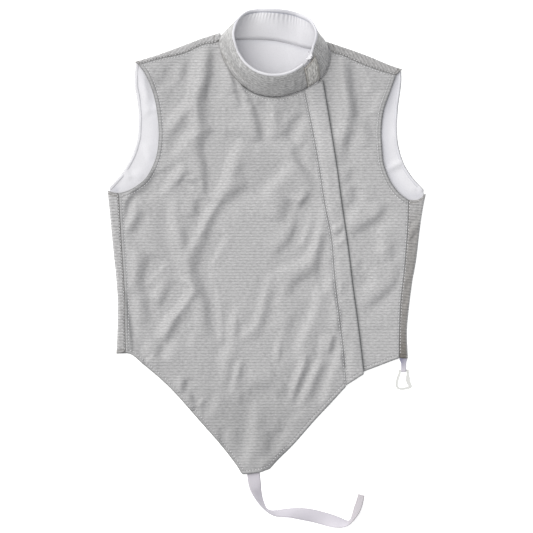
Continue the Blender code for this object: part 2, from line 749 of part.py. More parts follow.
def groin_strap():
    """The groin strap on the ground, tilted up on one edge at its bends."""
    line = smooth(STRAP_ROWS, STRAP_STEP)
    sections = []
    for index, (x, y, tilt) in enumerate(line):
        before = line[max(0, index - 1)]
        after = line[min(len(line) - 1, index + 1)]
        heading = Vector((after[0] - before[0], after[1] - before[1], 0)).normalized()
        angle = math.radians(max(0.0, tilt))
        raised = Vector((heading.y, -heading.x, 0)) * math.cos(angle) + Vector((0, 0, math.sin(angle)))
        half = raised * (STRAP_WIDTH / 2)
        thick = raised.cross(heading) * (STRAP_CLOTH / 2)
        middle = Vector((x, y, abs(half.z) + abs(thick.z)))
        sections.append([middle - half - thick, middle + half - thick, middle + half + thick, middle - half + thick])
    loft("groin_strap", sections, "white_elastic")


def side_loop():
    """The elastic loop round the hook's bar, its ends between the layers of the vest."""
    _, bar_y, bar_z = HOOK_AXIS
    turn = HOOK_BAR / 2 + SEAM_GAP + LOOP_CLOTH / 2
    path = [*LOOP_LOWER]
    for angle in span(-math.pi / 2, -3 * math.pi / 2, LOOP_TURN_POINTS):
        path.append((bar_y + turn * math.cos(angle), bar_z + turn * math.sin(angle)))
    path.extend(LOOP_UPPER)
    taper_end, taper_start = LOOP_TAPER
    bm = bmesh.new()
    rows = []
    for y, z in path:
        narrowed = ease((taper_start - y) / (taper_start - taper_end))
        left, right = blend(LOOP_AT_HEM, LOOP_AT_BAR, narrowed)
        rows.append([bm.verts.new((x, y, z)) for x in (left, right)])
    for row, following in zip(rows, rows[1:]):
        bm.faces.new((row[0], row[1], following[1], following[0]))
    add_thickness(finish_mesh("side_loop", bm, "white_elastic"), LOOP_CLOTH, 0)


def side_hook():
    """The moulded hook: an open frame and the bar that turns in the loop, which is its origin."""
    axis = Vector(HOOK_AXIS)
    curve = bpy.data.curves.new("hook_frame", "CURVE")
    curve.dimensions = "2D"
    curve.fill_mode = "BOTH"
    curve.extrude = HOOK_THICK / 2 * MM
    outline = [*smooth(HOOK_OUTSIDE, HOOK_STEP), *smooth(HOOK_INSIDE, HOOK_STEP)]
    spline = curve.splines.new("POLY")
    spline.points.add(len(outline) - 1)
    spline.use_cyclic_u = True
    for point, (x, y) in zip(spline.points, outline):
        point.co = ((x - axis.x) * MM, (y - axis.y) * MM, 0, 1)
    flat = bpy.data.objects.new("hook_frame", curve)
    PARTS.objects.link(flat)
    mesh = bpy.data.meshes.new_from_object(flat.evaluated_get(bpy.context.evaluated_depsgraph_get()))
    bpy.data.objects.remove(flat)
    bm = bmesh.new()
    bm.from_mesh(mesh)
    bpy.data.meshes.remove(mesh)
    bmesh.ops.remove_doubles(bm, verts=bm.verts, dist=MERGE * MM)
    bmesh.ops.recalc_face_normals(bm, faces=bm.faces)
    bmesh.ops.scale(bm, vec=(1 / MM,) * 3, verts=bm.verts)
    hook = finish_mesh("side_hook", bm, "white_plastic")
    rounded = hook.modifiers.new("rounded", "BEVEL")
    rounded.width = HOOK_EDGE * MM
    rounded.segments = 2
    rounded.limit_method = "ANGLE"
    rounded.angle_limit = SHARP_ANGLE

    left = HOOK_OUTSIDE[0][0]
    right = HOOK_OUTSIDE[-1][0]
    bm = bmesh.new()
    bmesh.ops.create_cone(
        bm, cap_ends=True, segments=BAR_SIDES, radius1=HOOK_BAR / 2, radius2=HOOK_BAR / 2, depth=right - left,
        matrix=Matrix.Rotation(math.pi / 2, 4, "Y"),
    )
    bmesh.ops.translate(bm, vec=((left + right) / 2 - axis.x, 0, 0), verts=bm.verts)
    bar = finish_mesh("hook_bar_shape", bm, "white_plastic")
    PARTS.objects.unlink(bar)
    CUTTERS.objects.link(bar)
    bar.hide_render = True
    bar.display_type = "WIRE"

    reach = axis.y - min(y for _, y in HOOK_OUTSIDE)
    fall = axis.z - HOOK_THICK / 2 - HOOK_TIP_UNDER
    for obj in (hook, bar):
        obj.location = axis * MM
        obj.rotation_euler.x = math.asin(fall / reach)
    joined = hook.modifiers.new("bar", "BOOLEAN")
    joined.operation = "UNION"
    joined.object = bar


# ------------------------------------------------------------------------------------- set up


def make_materials():
    """One plain material for each kind of cloth, tape and plastic."""
    for name, (colour, metallic, roughness) in MATERIALS.items():
        material = bpy.data.materials.get(name) or bpy.data.materials.new(name)
        material.use_nodes = True
        shader = material.node_tree.nodes["Principled BSDF"]
        shader.inputs["Base Color"].default_value = (*colour, 1.0)
        shader.inputs["Metallic"].default_value = metallic
        shader.inputs["Roughness"].default_value = roughness


for leftover in list(bpy.data.objects):
    bpy.data.objects.remove(leftover, do_unlink=True)
PARTS = bpy.data.collections.new("foil_lame")
CUTTERS = bpy.data.collections.new("cutters")
bpy.context.scene.collection.children.link(PARTS)
bpy.context.scene.collection.children.link(CUTTERS)
make_materials()

back_panel()
back_lining()
facing("facing_left", BACK_ARMHOLE_LEFT, 1)
facing("facing_right", BACK_ARMHOLE_RIGHT, -1)
front_right()
front_left()
placket()
zip_tapes()
collar_outer()
collar_lining()
collar_tab()
groin_strap()
side_loop()
side_hook()
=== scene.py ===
"""A foil fencing vest of woven metallic cloth (a lame), laid out flat with its front up.

The vest's back lies on the table and turns over both sides and both shoulders onto the
front. The two fronts, the flap over the zip, the stand collar with its tab, the lining, the
groin strap and the hook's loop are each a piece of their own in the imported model's places.
X runs across the vest, Y up to the collar, Z up off the table. Lengths here are in
millimetres, and MM turns them to the frame's metres.
"""

from __future__ import annotations

import logging
import math
from collections.abc import Callable, Sequence
from dataclasses import dataclass, field, replace
from enum import Enum

import bpy
import numpy as np
from bpy.types import Material, Node, NodeOutputs, NodeSocket, NodeTree, Object, Scene
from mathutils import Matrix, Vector, noise
from mathutils.geometry import delaunay_2d_cdt

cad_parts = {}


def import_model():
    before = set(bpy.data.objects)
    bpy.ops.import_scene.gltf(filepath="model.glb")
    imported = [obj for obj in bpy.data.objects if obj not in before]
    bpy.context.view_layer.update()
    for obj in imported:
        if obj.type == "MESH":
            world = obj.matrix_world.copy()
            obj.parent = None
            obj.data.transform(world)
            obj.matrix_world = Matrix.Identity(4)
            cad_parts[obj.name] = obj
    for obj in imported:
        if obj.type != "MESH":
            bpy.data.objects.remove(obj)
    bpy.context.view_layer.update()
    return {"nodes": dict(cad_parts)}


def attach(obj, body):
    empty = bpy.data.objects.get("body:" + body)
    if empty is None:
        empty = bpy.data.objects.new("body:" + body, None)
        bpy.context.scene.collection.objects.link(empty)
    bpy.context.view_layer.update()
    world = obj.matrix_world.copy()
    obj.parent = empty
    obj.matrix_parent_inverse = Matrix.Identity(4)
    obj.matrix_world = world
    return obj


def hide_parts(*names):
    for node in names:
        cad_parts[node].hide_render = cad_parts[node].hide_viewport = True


LOG = logging.getLogger("foil_vest")
MM = 0.001
BODY = "vest"

# Gauges of the cloth and heights of its layers over the table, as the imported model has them.
BACK_CLOTH = 1.2
LINING_CLOTH = 1.0
FRONT_CLOTH = 1.5
SEAM_GAP = 0.3
HALF_SEAM = SEAM_GAP / 2
LINING_UNDER = BACK_CLOTH + SEAM_GAP
LINING_TOP = LINING_UNDER + LINING_CLOTH
FACING_UNDER = LINING_TOP + SEAM_GAP
FOLD_RADIUS = 3.5
FRONT_AT_SEAMS = 2 * FOLD_RADIUS - FRONT_CLOTH
FRONT_AT_NECK = 8.0

# Where there is no back under the fronts, its hem counts as this far down.
NO_HEM = -1e3

# Stitching lies in a groove this wide and deep, and an edge rolls down within this of its line.
GROOVE = 0.8
GROOVE_DEPTH = 0.6
EDGE_ROLL = 1.2

# Rows of points follow a panel's edge this far in, close enough to draw its stitching.
STITCH_OFFSETS = (0.8, 1.6, 2.4, 3.2, 4.1, 5.0, 5.8, 6.6, 7.6)
# A row's points stay this share of their offset away from every other part of the edge.
ROW_CLEAR = 0.93
# Points of an outline nearer than this are one, and the fill joins any nearer than the second.
SAME_PLACE = 0.05
MERGED = 0.01
# The least squared length that a stretch of a line is taken to have.
TINY = 1e-9
# The way in plan, away from the key light, in which a crease with a tilt above 0 rises.
AWAY_FROM_KEY = np.array([1.0, -1.0]) / math.sqrt(2)

Array = np.ndarray
Rows = Sequence[Sequence[float]]
# A line of painted shade: the line, its half width and how dark it is painted.
Shade = tuple[Array, float, float]

# Lines of the cut, each from its first named end to its second.
SIDE_FOLD_LEFT = (  # underarm to hem
    (-249.2, 118.7), (-244.7, 73), (-240, 24), (-236, -15), (-233.5, -50), (-233.5, -90), (-235.5, -137),
)
SIDE_FOLD_RIGHT = (
    (249.6, 113.5), (245.3, 92), (240.5, 60), (234.5, 10), (228, -27), (222, -76), (220, -105),
    (221.5, -144),
)
SIDE_SEAM_LEFT = ((-232, 114.8), (-228, 44), (-224, -16), (-222, -56), (-222, -96), (-221, -134.5))
SIDE_SEAM_RIGHT = ((223, 104.2), (222, 64), (217.5, 4), (211, -56), (208.8, -106), (208.5, -143.5))
SHOULDER_FOLD_LEFT = (  # armhole to neck
    (-206.5, 321), (-182.5, 328), (-167, 333), (-135.5, 344.5), (-104, 356.5), (-72.3, 366.5),
)
SHOULDER_FOLD_RIGHT = ((212.5, 309), (193.5, 315.5), (162, 328.5), (131, 340), (93.5, 352.5))
SHOULDER_SEAM_LEFT = (
    (-200.5, 316.5), (-167, 326), (-132.5, 333.5), (-104, 346), (-94, 349.5), (-84, 350), (-73.8, 353.5),
)
SHOULDER_SEAM_RIGHT = ((203, 300), (178, 307.5), (146.5, 319), (120, 331.5), (112, 333), (101, 337.5))
FRONT_ARMHOLE_LEFT = (  # shoulder to underarm
    (-200.5, 316), (-188, 298), (-176, 266), (-170, 230), (-169, 198), (-174, 168), (-188, 140),
    (-204, 126), (-219, 118), (-231.5, 114.8),
)
FRONT_ARMHOLE_RIGHT = (
    (203, 299.5), (194, 274), (184, 246), (180, 216), (181, 186), (184, 160), (194, 134), (208, 115),
    (222.5, 104.2),
)
BACK_ARMHOLE_LEFT = (
    (-205, 318), (-206.5, 286), (-201, 248), (-201, 211), (-206, 186), (-217, 161), (-230, 142),
    (-247, 123.5),
)
BACK_ARMHOLE_RIGHT = (
    (211, 306), (211, 286), (206, 248), (204.5, 211), (207.5, 186), (215.5, 161), (229, 139.5),
    (247.3, 119.5),
)
HEM_LEFT = (  # side seam round the groin point to the flap
    (-221, -134.5), (-209, -139.5), (-193.5, -153), (-164, -178), (-139, -203), (-106, -240.5), (-73, -278),
    (-48, -310), (-39, -324), (-33, -325.5), (-10, -322.5), (-2, -319.5), (5, -317), (18, -303), (43, -278),
    (76, -240.5), (99.5, -215.5), (125, -187.5),
)
HEM_OF_LEFT_FRONT = ((139, -172.5), (152, -165), (174, -156.5), (192, -149.5), (208.5, -143.5))
BACK_HEM = ((-218, -136), (-205, -138), (-150, -143), (0, -147), (150, -146), (206, -141))
FLAP_SEWN_EDGE = (  # collar to hem
    (59.5, 276.5), (72, 216), (82, 160), (92, 96), (102, 44), (107, -16), (114, -76), (121, -135),
    (125.3, -186),
)
FLAP_OPEN_EDGE = (
    (88, 291.5), (98, 232), (110, 156), (117, 104), (128, 28), (135, -30), (144, -96), (152.5, -168.5),
)

# The soft creases of the fronts. Each is a slope across a bent line: it rises
# away from the key light where its tilt is above 0 and so catches it, and falls into shade
# below 0. A ridge is one of each side by side.
CREASES = (
    # tilt, half width, points
    # chest, wearer's right
    (-0.45, 7, (-87, 348), (-90, 300), (-95, 275), (-100, 258)),
    (0.28, 10, (-110, 344), (-115, 300), (-122, 270), (-132, 252), (-145, 235), (-155, 215)),
    (0.30, 7, (-120, 292), (-116, 250), (-114, 225), (-113, 200)),
    (-0.15, 6, (-118, 250), (-135, 225), (-145, 210), (-160, 190)),
    (-0.20, 9, (-99, 285), (-102, 255), (-102, 230), (-99, 200)),
    (0.22, 6, (-140, 318), (-147, 285)),
    (-0.18, 5, (-125, 322), (-130, 296)),
    (-0.18, 7, (-155, 312), (-166, 284)),
    (-0.20, 7, (-182, 306), (-170, 276)),
    (0.18, 7, (-118, 215), (-130, 195), (-142, 180), (-158, 163)),
    (-0.32, 8, (-106, 212), (-103, 180), (-97, 160), (-95, 135), (-99, 112)),
    (-0.26, 8, (-82, 217), (-93, 202), (-101, 184)),
    (0.18, 9, (-74, 302), (-66, 268)),
    (-0.42, 4, (-62, 318), (-53, 294), (-48, 277), (-44, 262), (-42, 250)),
    (0.28, 4, (-50, 302), (-43, 284), (-37, 270), (-33, 258)),
    (-0.44, 4, (-48, 300), (-38, 281), (-29, 267), (-21, 252), (-16, 238)),
    (0.28, 9, (-40, 202), (-54, 175), (-62, 155), (-70, 130), (-82, 106)),
    (0.28, 6, (-130, 162), (-145, 145), (-156, 130), (-168, 113)),
    (-0.16, 5, (-166, 152), (-150, 147)),
    (-0.36, 8, (-172, 152), (-187, 130), (-204, 112)),
    (-0.62, 4, (-200, 122), (-212, 110), (-218, 98), (-221, 84), (-222, 70)),
    (-0.28, 5, (-120, 148), (-130, 139), (-112, 129)),
    (0.20, 4, (-103, 136), (-105, 114)),
    (-0.27, 8, (-28, 128), (-48, 117), (-62, 109), (-76, 97)),
    (-0.14, 8, (-60, 216), (-42, 208), (-10, 198)),
    (-0.12, 7, (-38, 164), (-50, 138)),
    # waist, wearer's right
    (0.32, 5, (-210, 103), (-217, 76), (-223, 56)),
    (-0.27, 6, (-194, 88), (-205, 66), (-218, 50)),
    (0.36, 7, (-150, 114), (-150, 60), (-147, 40), (-140, 20), (-133, 0), (-128, -20), (-126, -50)),
    (0.34, 9, (-118, -32), (-128, -52), (-139, -66), (-153, -80), (-163, -98), (-170, -114)),
    (-0.38, 6, (-104, -34), (-119, -54), (-133, -73), (-146, -94), (-158, -120)),
    (-0.28, 7, (-109, 108), (-111, 76)),
    (0.22, 6, (-66, 114), (-84, 93), (-95, 78), (-103, 60), (-113, 42), (-122, 25), (-128, 8)),
    (-0.29, 6.5, (-68, 106), (-82, 82), (-91, 62), (-98, 44)),
    (-0.20, 12, (-93, 58), (-101, 36), (-109, 14), (-113, -12)),
    (-0.18, 6, (-131, 64), (-128, 45), (-124, 30)),
    (0.22, 5, (-62, 50), (-74, 30), (-85, 12), (-96, -2)),
    (0.32, 4, (-93, -2), (-86, -26), (-80, -50), (-76, -85), (-75, -120)),
    (-0.26, 9, (-120, 2), (-108, -22), (-97, -45), (-92, -72), (-90, -110)),
    (-0.26, 12, (-184, 22), (-193, -4), (-199, -44)),
    (0.34, 4, (-155, 9), (-166, 0), (-179, -13), (-192, -28)),
    (-0.20, 10, (-145, -20), (-156, -42), (-166, -64)),
    (0.16, 5, (-172, -28), (-175, -60), (-170, -78)),
    (-0.16, 8, (-196, -34), (-190, -60), (-184, -88)),
    (0.18, 4, (-212, 24), (-208, 0), (-215, -28)),
    (-0.38, 4, (-222, -42), (-217, -75), (-213, -100), (-210, -130)),
    (0.10, 5, (-207, -48), (-205, -112)),
    (-0.24, 5, (-163, -122), (-173, -142)),
    (0.18, 7, (-143, -112), (-162, -147)),
    (0.16, 5, (-184, -112), (-196, -142)),
    (-0.22, 6, (-207, -128), (-190, -150), (-172, -164)),
    (-0.16, 5, (-119, -64), (-123, -88)),
    (0.12, 6, (-114, -98), (-123, -128)),
    (0.17, 7, (-50, -58), (-55, -90), (-58, -120), (-66, -148)),
    (-0.14, 5, (-44, -82), (-48, -113)),
    (0.16, 5, (-31, -92), (-41, -112)),
    # chest, beside the flap
    (0.18, 4, (-24, 266), (-14, 250), (-4, 238)),
    (0.36, 7, (0, 264), (3, 240), (2, 215), (0, 202)),
    (-0.36, 7, (-20, 254), (-13, 230), (-10, 210), (-13, 192)),
    (-0.14, 8, (14, 242), (20, 225), (30, 212)),
    (-0.32, 6, (56, 241), (43, 228), (35, 214), (28, 202)),
    (0.18, 7, (62, 238), (52, 220), (48, 205), (50, 188)),
    (-0.16, 2.5, (34, 263), (56, 250)),
    (0.14, 3, (22, 263), (42, 246)),
    (0.14, 2.5, (48, 264), (58, 258)),
    (0.24, 9, (38, 168), (28, 150), (14, 135), (0, 120), (-8, 102)),
    (-0.24, 6, (45, 194), (43, 176), (53, 160), (63, 145), (71, 130), (70, 114)),
    (-0.30, 7, (68, 118), (60, 104), (48, 92)),
    (0.20, 5, (58, 190), (65, 162)),
    (0.18, 5, (60, 117), (50, 105), (44, 90)),
    (-0.24, 11, (36, 108), (28, 88), (22, 68)),
    (-0.27, 7, (60, 110), (54, 82), (46, 59), (36, 42), (23, 28), (8, 18)),
    (0.32, 6, (63, 92), (60, 66), (55, 49), (47, 32)),
    (0.32, 6, (86, 94), (83, 70), (78, 50), (72, 30), (62, 13), (45, 3), (28, -1), (12, -10)),
    (-0.29, 5, (89, 52), (84, 30), (81, 12), (80, -6), (82, -24)),
    (-0.26, 8, (80, 6), (68, -11), (55, -18), (45, -25), (38, -35), (34, -48)),
    (0.19, 5, (8, -8), (0, -21), (-5, -40), (-10, -60), (-17, -85), (-25, -99), (-38, -107)),
    (-0.15, 7, (8, -42), (2, -65), (-5, -85), (-10, -100), (-16, -118)),
    (0.12, 6, (27, -32), (18, -50), (10, -64)),
    (0.28, 7, (78, -26), (75, -55), (70, -75), (60, -95), (52, -115), (48, -130), (45, -148)),
    (0.26, 5, (95, -14), (92, -44)),
    (0.18, 4, (26, -97), (20, -110), (15, -122), (12, -148)),
    (-0.22, 3, (22, -126), (22, -148)),
    (0.16, 4, (86, -106), (82, -143)),
    (-0.14, 4, (74, -124), (77, -148)),
    (-0.12, 8, (42, -74), (34, -104)),
    # wearer's left front and the flap
    (0.32, 8, (118, 338), (112, 310), (113, 280), (117, 250), (118, 225), (109, 200)),
    (-0.34, 7, (125, 332), (129, 300), (132, 278), (136, 250), (136, 228)),
    (-0.20, 8, (142, 270), (140, 245), (134, 222), (127, 202), (123, 183), (120, 160)),
    (-0.20, 5, (130, 212), (124, 186)),
    (0.28, 6, (138, 322), (148, 305), (155, 290), (161, 270)),
    (-0.12, 4, (150, 320), (162, 298)),
    (0.18, 8, (170, 274), (173, 244)),
    (-0.20, 8, (154, 236), (160, 212), (167, 190)),
    (-0.18, 6, (131, 154), (127, 130)),
    (-0.20, 7, (135, 124), (135, 94)),
    (0.18, 7, (144, 128), (151, 100)),
    (0.10, 4, (109, 156), (113, 126)),
    (-0.30, 7, (188, 100), (178, 80), (165, 70), (150, 60), (132, 49)),
    (0.20, 8, (146, 94), (134, 82), (126, 66)),
    (0.20, 8, (171, 58), (178, 40), (174, 20)),
    (-0.18, 7, (194, 34), (199, 10)),
    (-0.24, 6, (209, 4), (205, -15), (198, -30), (185, -42), (170, -55), (150, -67)),
    (0.24, 4, (215, 0), (213, -34)),
    (0.18, 8, (160, -6), (165, -24), (148, -37)),
    (-0.16, 5, (146, 12), (142, -10)),
    (-0.12, 4, (148, -95), (170, -97), (197, -97)),
    (0.28, 2.6, (99, 60), (108, 64), (118, 68)),
    (-0.34, 2.6, (103, 49), (111, 53), (121, 60)),
    (0.28, 2.6, (105, 36), (113, 40), (123, 47)),
    (-0.20, 5, (105, 26), (112, 14)),
    (-0.22, 4, (121, -24), (117, -50)),
    (-0.26, 3, (105, -20), (108, -45), (111, -68)),
    (-0.32, 5, (114, -56), (116, -80), (112, -104)),
    (-0.46, 4, (108, -108), (103, -122), (102, -136)),
    (0.18, 6, (130, -104), (132, -130), (127, -155)),
    (-0.32, 4, (119, -132), (122, -164)),
    # groin
    (-0.38, 5, (-126, -174), (-131, -200)),
    (-0.30, 5, (-119, -190), (-115, -213), (-102, -224)),
    (0.18, 6, (-76, -196), (-82, -215), (-90, -236)),
    (0.18, 7, (-68, -126), (-71, -155), (-65, -180)),
    (0.30, 4, (-44, -144), (-50, -170), (-57, -200)),
    (-0.14, 4, (-38, -150), (-42, -180)),
    (-0.16, 5, (-37, -196), (-40, -218)),
    (-0.16, 10, (18, -180), (-4, -188), (-28, -188)),
    (-0.14, 9, (34, -188), (14, -206)),
    (0.32, 4.5, (58, -138), (52, -158), (45, -175), (40, -194), (36, -212)),
    (-0.32, 4.5, (68, -134), (62, -160), (54, -180), (47, -196), (39, -215)),
    (0.26, 4.5, (83, -142), (74, -162), (65, -180), (56, -200), (48, -222)),
    (-0.26, 5, (91, -152), (82, -172), (75, -190), (66, -212)),
    (0.24, 5, (113, -126), (106, -150), (98, -175), (90, -200), (83, -218)),
    (0.28, 8, (-19, -210), (-22, -230), (-25, -250), (-26, -270), (-30, -290), (-36, -312)),
    (-0.22, 9, (4, -256), (4, -278), (-1, -300)),
    (-0.14, 5, (21, -236), (22, -264)),
    (0.12, 5, (36, -250), (22, -270)),
    (0.14, 5, (62, -220), (46, -236), (34, -246)),
    (-0.40, 6, (34, -281), (15, -304), (-8, -320)),
    (-0.18, 5, (-77, -256), (-68, -286)),
    (0.12, 6, (-58, -250), (-62, -274)),
)

# The soft creases of the lining where the neck and the armholes show it.
LINING_CREASES = (
    (-0.32, 4, (-190, 310), (-188, 285), (-180, 258)),
    (0.25, 4, (-196, 300), (-192, 268), (-185, 240)),
    (-0.34, 4, (-192, 262), (-185, 250), (-175, 240)),
    (-0.30, 4, (-222, 160), (-210, 142), (-196, 132)),
    (-0.45, 3, (-247, 119), (-240, 127), (-232, 135), (-226, 143)),
    (-0.40, 3, (-237, 113), (-234, 125)),
    (0.45, 3, (247, 112), (240, 120), (232, 128)),
    (0.25, 5, (-196, 190), (-186, 165)),
    (0.28, 5, (212, 168), (196, 160), (186, 152)),
    (-0.34, 4, (216, 160), (200, 154), (188, 150)),
    (-0.30, 5, (204, 300), (197, 272), (190, 240)),
    (0.20, 6, (206, 240), (196, 200)),
    (0.12, 6, (28, 345), (40, 325), (44, 312)),
    (-0.12, 7, (-28, 345), (-20, 322), (-10, 305)),
)

# Short creases across the back's turned edges, where the cloth buckles.
WRAP_CREASES = (
    (-0.34, 2.2, (222, 38), (230, 50), (241, 64)),
    (0.24, 2.4, (222, 54), (230, 66), (243, 80)),
    (-0.22, 2.4, (216, -30), (222, -22), (230, -12)),
    (0.20, 2.6, (212, -70), (217, -60), (224, -52)),
    (-0.26, 2.4, (-242, 62), (-234, 54), (-226, 44)),
    (0.20, 2.4, (-238, 10), (-231, 2), (-224, -8)),
    (-0.22, 2.4, (-234, -66), (-228, -72), (-221, -80)),
)


class Slot(Enum):
    """The record's material slots."""

    LAME = "silver_lame"
    COLLAR = "silver_lame_collar"
    LINING = "white_lining"
    ELASTIC = "white_elastic"
    ZIP = "zip_tape"
    PLASTIC = "white_plastic"


class Held(Enum):
    """How a sheet of cloth is held."""

    LAID = "laid"
    FOLDED = "folded"


# ---- lines in plan


def catmull(a: Array, b: Array, c: Array, d: Array, t: Array) -> Array:
    """Points at t of the smooth stretch from b to c."""
    return 0.5 * (
        2 * b + (c - a) * t + (2 * a - 5 * b + 4 * c - d) * t**2 + (3 * b - a - 3 * c + d) * t**3
    )


def smooth(points: Rows, step: float = 3.0) -> Array:
    """Run a smooth line through points.

    Args:
        points: Rows of numbers, x and y first.
        step: About how far apart the line's own points are.

    Returns:
        The line, a row for each of its points.
    """
    given = np.asarray(points, float)
    padded = np.vstack([given[:1], given, given[-1:]])
    runs = []
    for a, b, c, d in zip(padded, padded[1:], padded[2:], padded[3:]):
        parts = max(1, round(float(np.hypot(*(c - b)[:2])) / step))
        runs.append(catmull(a, b, c, d, np.arange(parts)[:, None] / parts))
    return np.vstack([*runs, given[-1:]])


def travelled(line: Array) -> Array:
    """How far along the line each of its points is."""
    return np.concatenate([[0.0], np.cumsum(np.linalg.norm(np.diff(line, axis=0), axis=1))])


def at(line: Array, run: Array, spots: Array) -> Array:
    """The points of a line at spots, where run says how far along its own points are."""
    return np.column_stack([np.interp(spots, run, column) for column in line.T])


def evenly(line: Array, parts: int) -> Array:
    """Divide a line into equal lengths, as parts + 1 points."""
    run = travelled(line)
    return at(line, run, np.linspace(0.0, run[-1], parts + 1))


def headings(line: Array) -> Array:
    """The unit way on in plan at each point of a line."""
    along = np.gradient(line[:, :2], axis=0)
    return along / np.linalg.norm(along, axis=1)[:, None]


def shifted(line: Array, distance: float) -> Array:
    """Move a line in plan sideways, to its left as it is walked."""
    along = headings(line)
    return line[:, :2] + distance * np.column_stack([-along[:, 1], along[:, 0]])


def apart(outline: Array) -> Array:
    """Leave out the points of a closed outline that fall together with the one before."""
    return outline[np.linalg.norm(outline - np.roll(outline, 1, axis=0), axis=1) > SAME_PLACE]


def turns_left(outline: Array) -> bool:
    """Whether a closed outline runs counter-clockwise."""
    x, y = outline.T
    return float(x @ np.roll(y, -1) - y @ np.roll(x, -1)) > 0


def nearest(points: Array, line: Array) -> tuple[Array, Array, Array]:
    """Find where a line is nearest to each point.

    Args:
        points: Points in plan.
        line: The line in plan.

    Returns:
        How far off the line is, the fraction of it where it is nearest, and the way from it to
        the point.
    """
    best = np.full(len(points), np.inf)
    share = np.zeros(len(points))
    way = np.zeros((len(points), 2))
    for index, (a, b) in enumerate(zip(line, line[1:])):
        run = b - a
        along = np.clip((points - a) @ run / max(run @ run, TINY), 0.0, 1.0)
        gap = points - a - along[:, None] * run
        away = np.hypot(gap[:, 0], gap[:, 1])
        closer = away < best
        best[closer] = away[closer]
        share[closer] = (index + along[closer]) / (len(line) - 1)
        way[closer] = gap[closer]
    return best, share, way


def inside(points: Array, outline: Array) -> Array:
    """Whether each point is inside a closed outline."""
    within = np.zeros(len(points), bool)
    for (ax, ay), (bx, by) in zip(outline, np.roll(outline, -1, axis=0)):
        if ay != by:
            crosses = (ay > points[:, 1]) != (by > points[:, 1])
            within ^= crosses & (points[:, 0] < ax + (bx - ax) * (points[:, 1] - ay) / (by - ay))
    return within


def hump(distance: Array, reach: float) -> Array:
    """1 at no distance, falling softly to nothing past reach."""
    return np.exp(-((distance / reach) ** 2))


def ease(t: Array) -> Array:
    """0 below 0 and 1 above 1, with a soft slope between."""
    t = np.clip(t, 0.0, 1.0)
    return t * t * (3 - 2 * t)


def soft_floor(height: Array, floor: Array | float, give: float) -> Array:
    """Keep heights over a floor, easing onto it within about give."""
    return 0.5 * (height + floor + np.sqrt((height - floor) ** 2 + give**2))


@dataclass(frozen=True)
class Crease:
    """A soft slope across a bent line, as the tables of creases describe it.

    It is `steepness` times its tilt steep, levels off a half width from the line, fades out
    over `reach` half widths, and tapers to both ends of the line.
    """

    tilt: float
    width: float
    line: Array
    steepness: float = 1.75
    reach: float = 2.6
    margin: float = 4.5
    taper: float = 0.6

    @classmethod
    def read(cls, table: Sequence[tuple]) -> list[Crease]:
        """The creases of a table."""
        return [cls(tilt, width, smooth(points, 6.0)) for tilt, width, *points in table]

    def add_to(self, total: Array, points: Array) -> None:
        """Add its height to the total height at points in plan."""
        margin = self.margin * self.width
        low, high = self.line.min(axis=0) - margin, self.line.max(axis=0) + margin
        near = np.all((points > low) & (points < high), axis=1)
        if near.any():
            away, share, way = nearest(points[near], self.line)
            side = away * np.sign(way @ AWAY_FROM_KEY) / self.width
            ends = np.clip(4 * share * (1 - share), 0, 1) ** self.taper
            fade = ends * hump(np.abs(side), self.reach)
            total[near] += self.steepness * self.tilt * self.width * np.tanh(side) * fade


def creased(points: Array, creases: Sequence[Crease]) -> Array:
    """What creases add to the height at points in plan."""
    total = np.zeros(len(points))
    for crease in creases:
        crease.add_to(total, points)
    return total


# ---- materials


def linear(code: str) -> tuple[float, float, float, float]:
    """Turn an sRGB hex colour to a linear one.

    Args:
        code: Such as "#b8b8b8".

    Returns:
        Red, green, blue and 1.
    """
    shares = [int(code[place : place + 2], 16) / 255 for place in (1, 3, 5)]
    return (*[s / 12.92 if s <= 0.04045 else ((s + 0.055) / 1.055) ** 2.4 for s in shares], 1.0)


def add_node(tree: NodeTree, kind: str, links: dict | None = None, **settings: object) -> Node:
    """Add one node with its settings and links.

    Args:
        tree: The material's tree.
        kind: The node's type.
        links: Output sockets, or plain values, by the input's name or number.
        settings: The node's own properties.

    Returns:
        The node.
    """
    node = tree.nodes.new(kind)
    for name, value in settings.items():
        setattr(node, name, value)
    for key, value in (links or {}).items():
        if isinstance(value, NodeSocket):
            tree.links.new(value, node.inputs[key])
        else:
            node.inputs[key].default_value = value
    return node


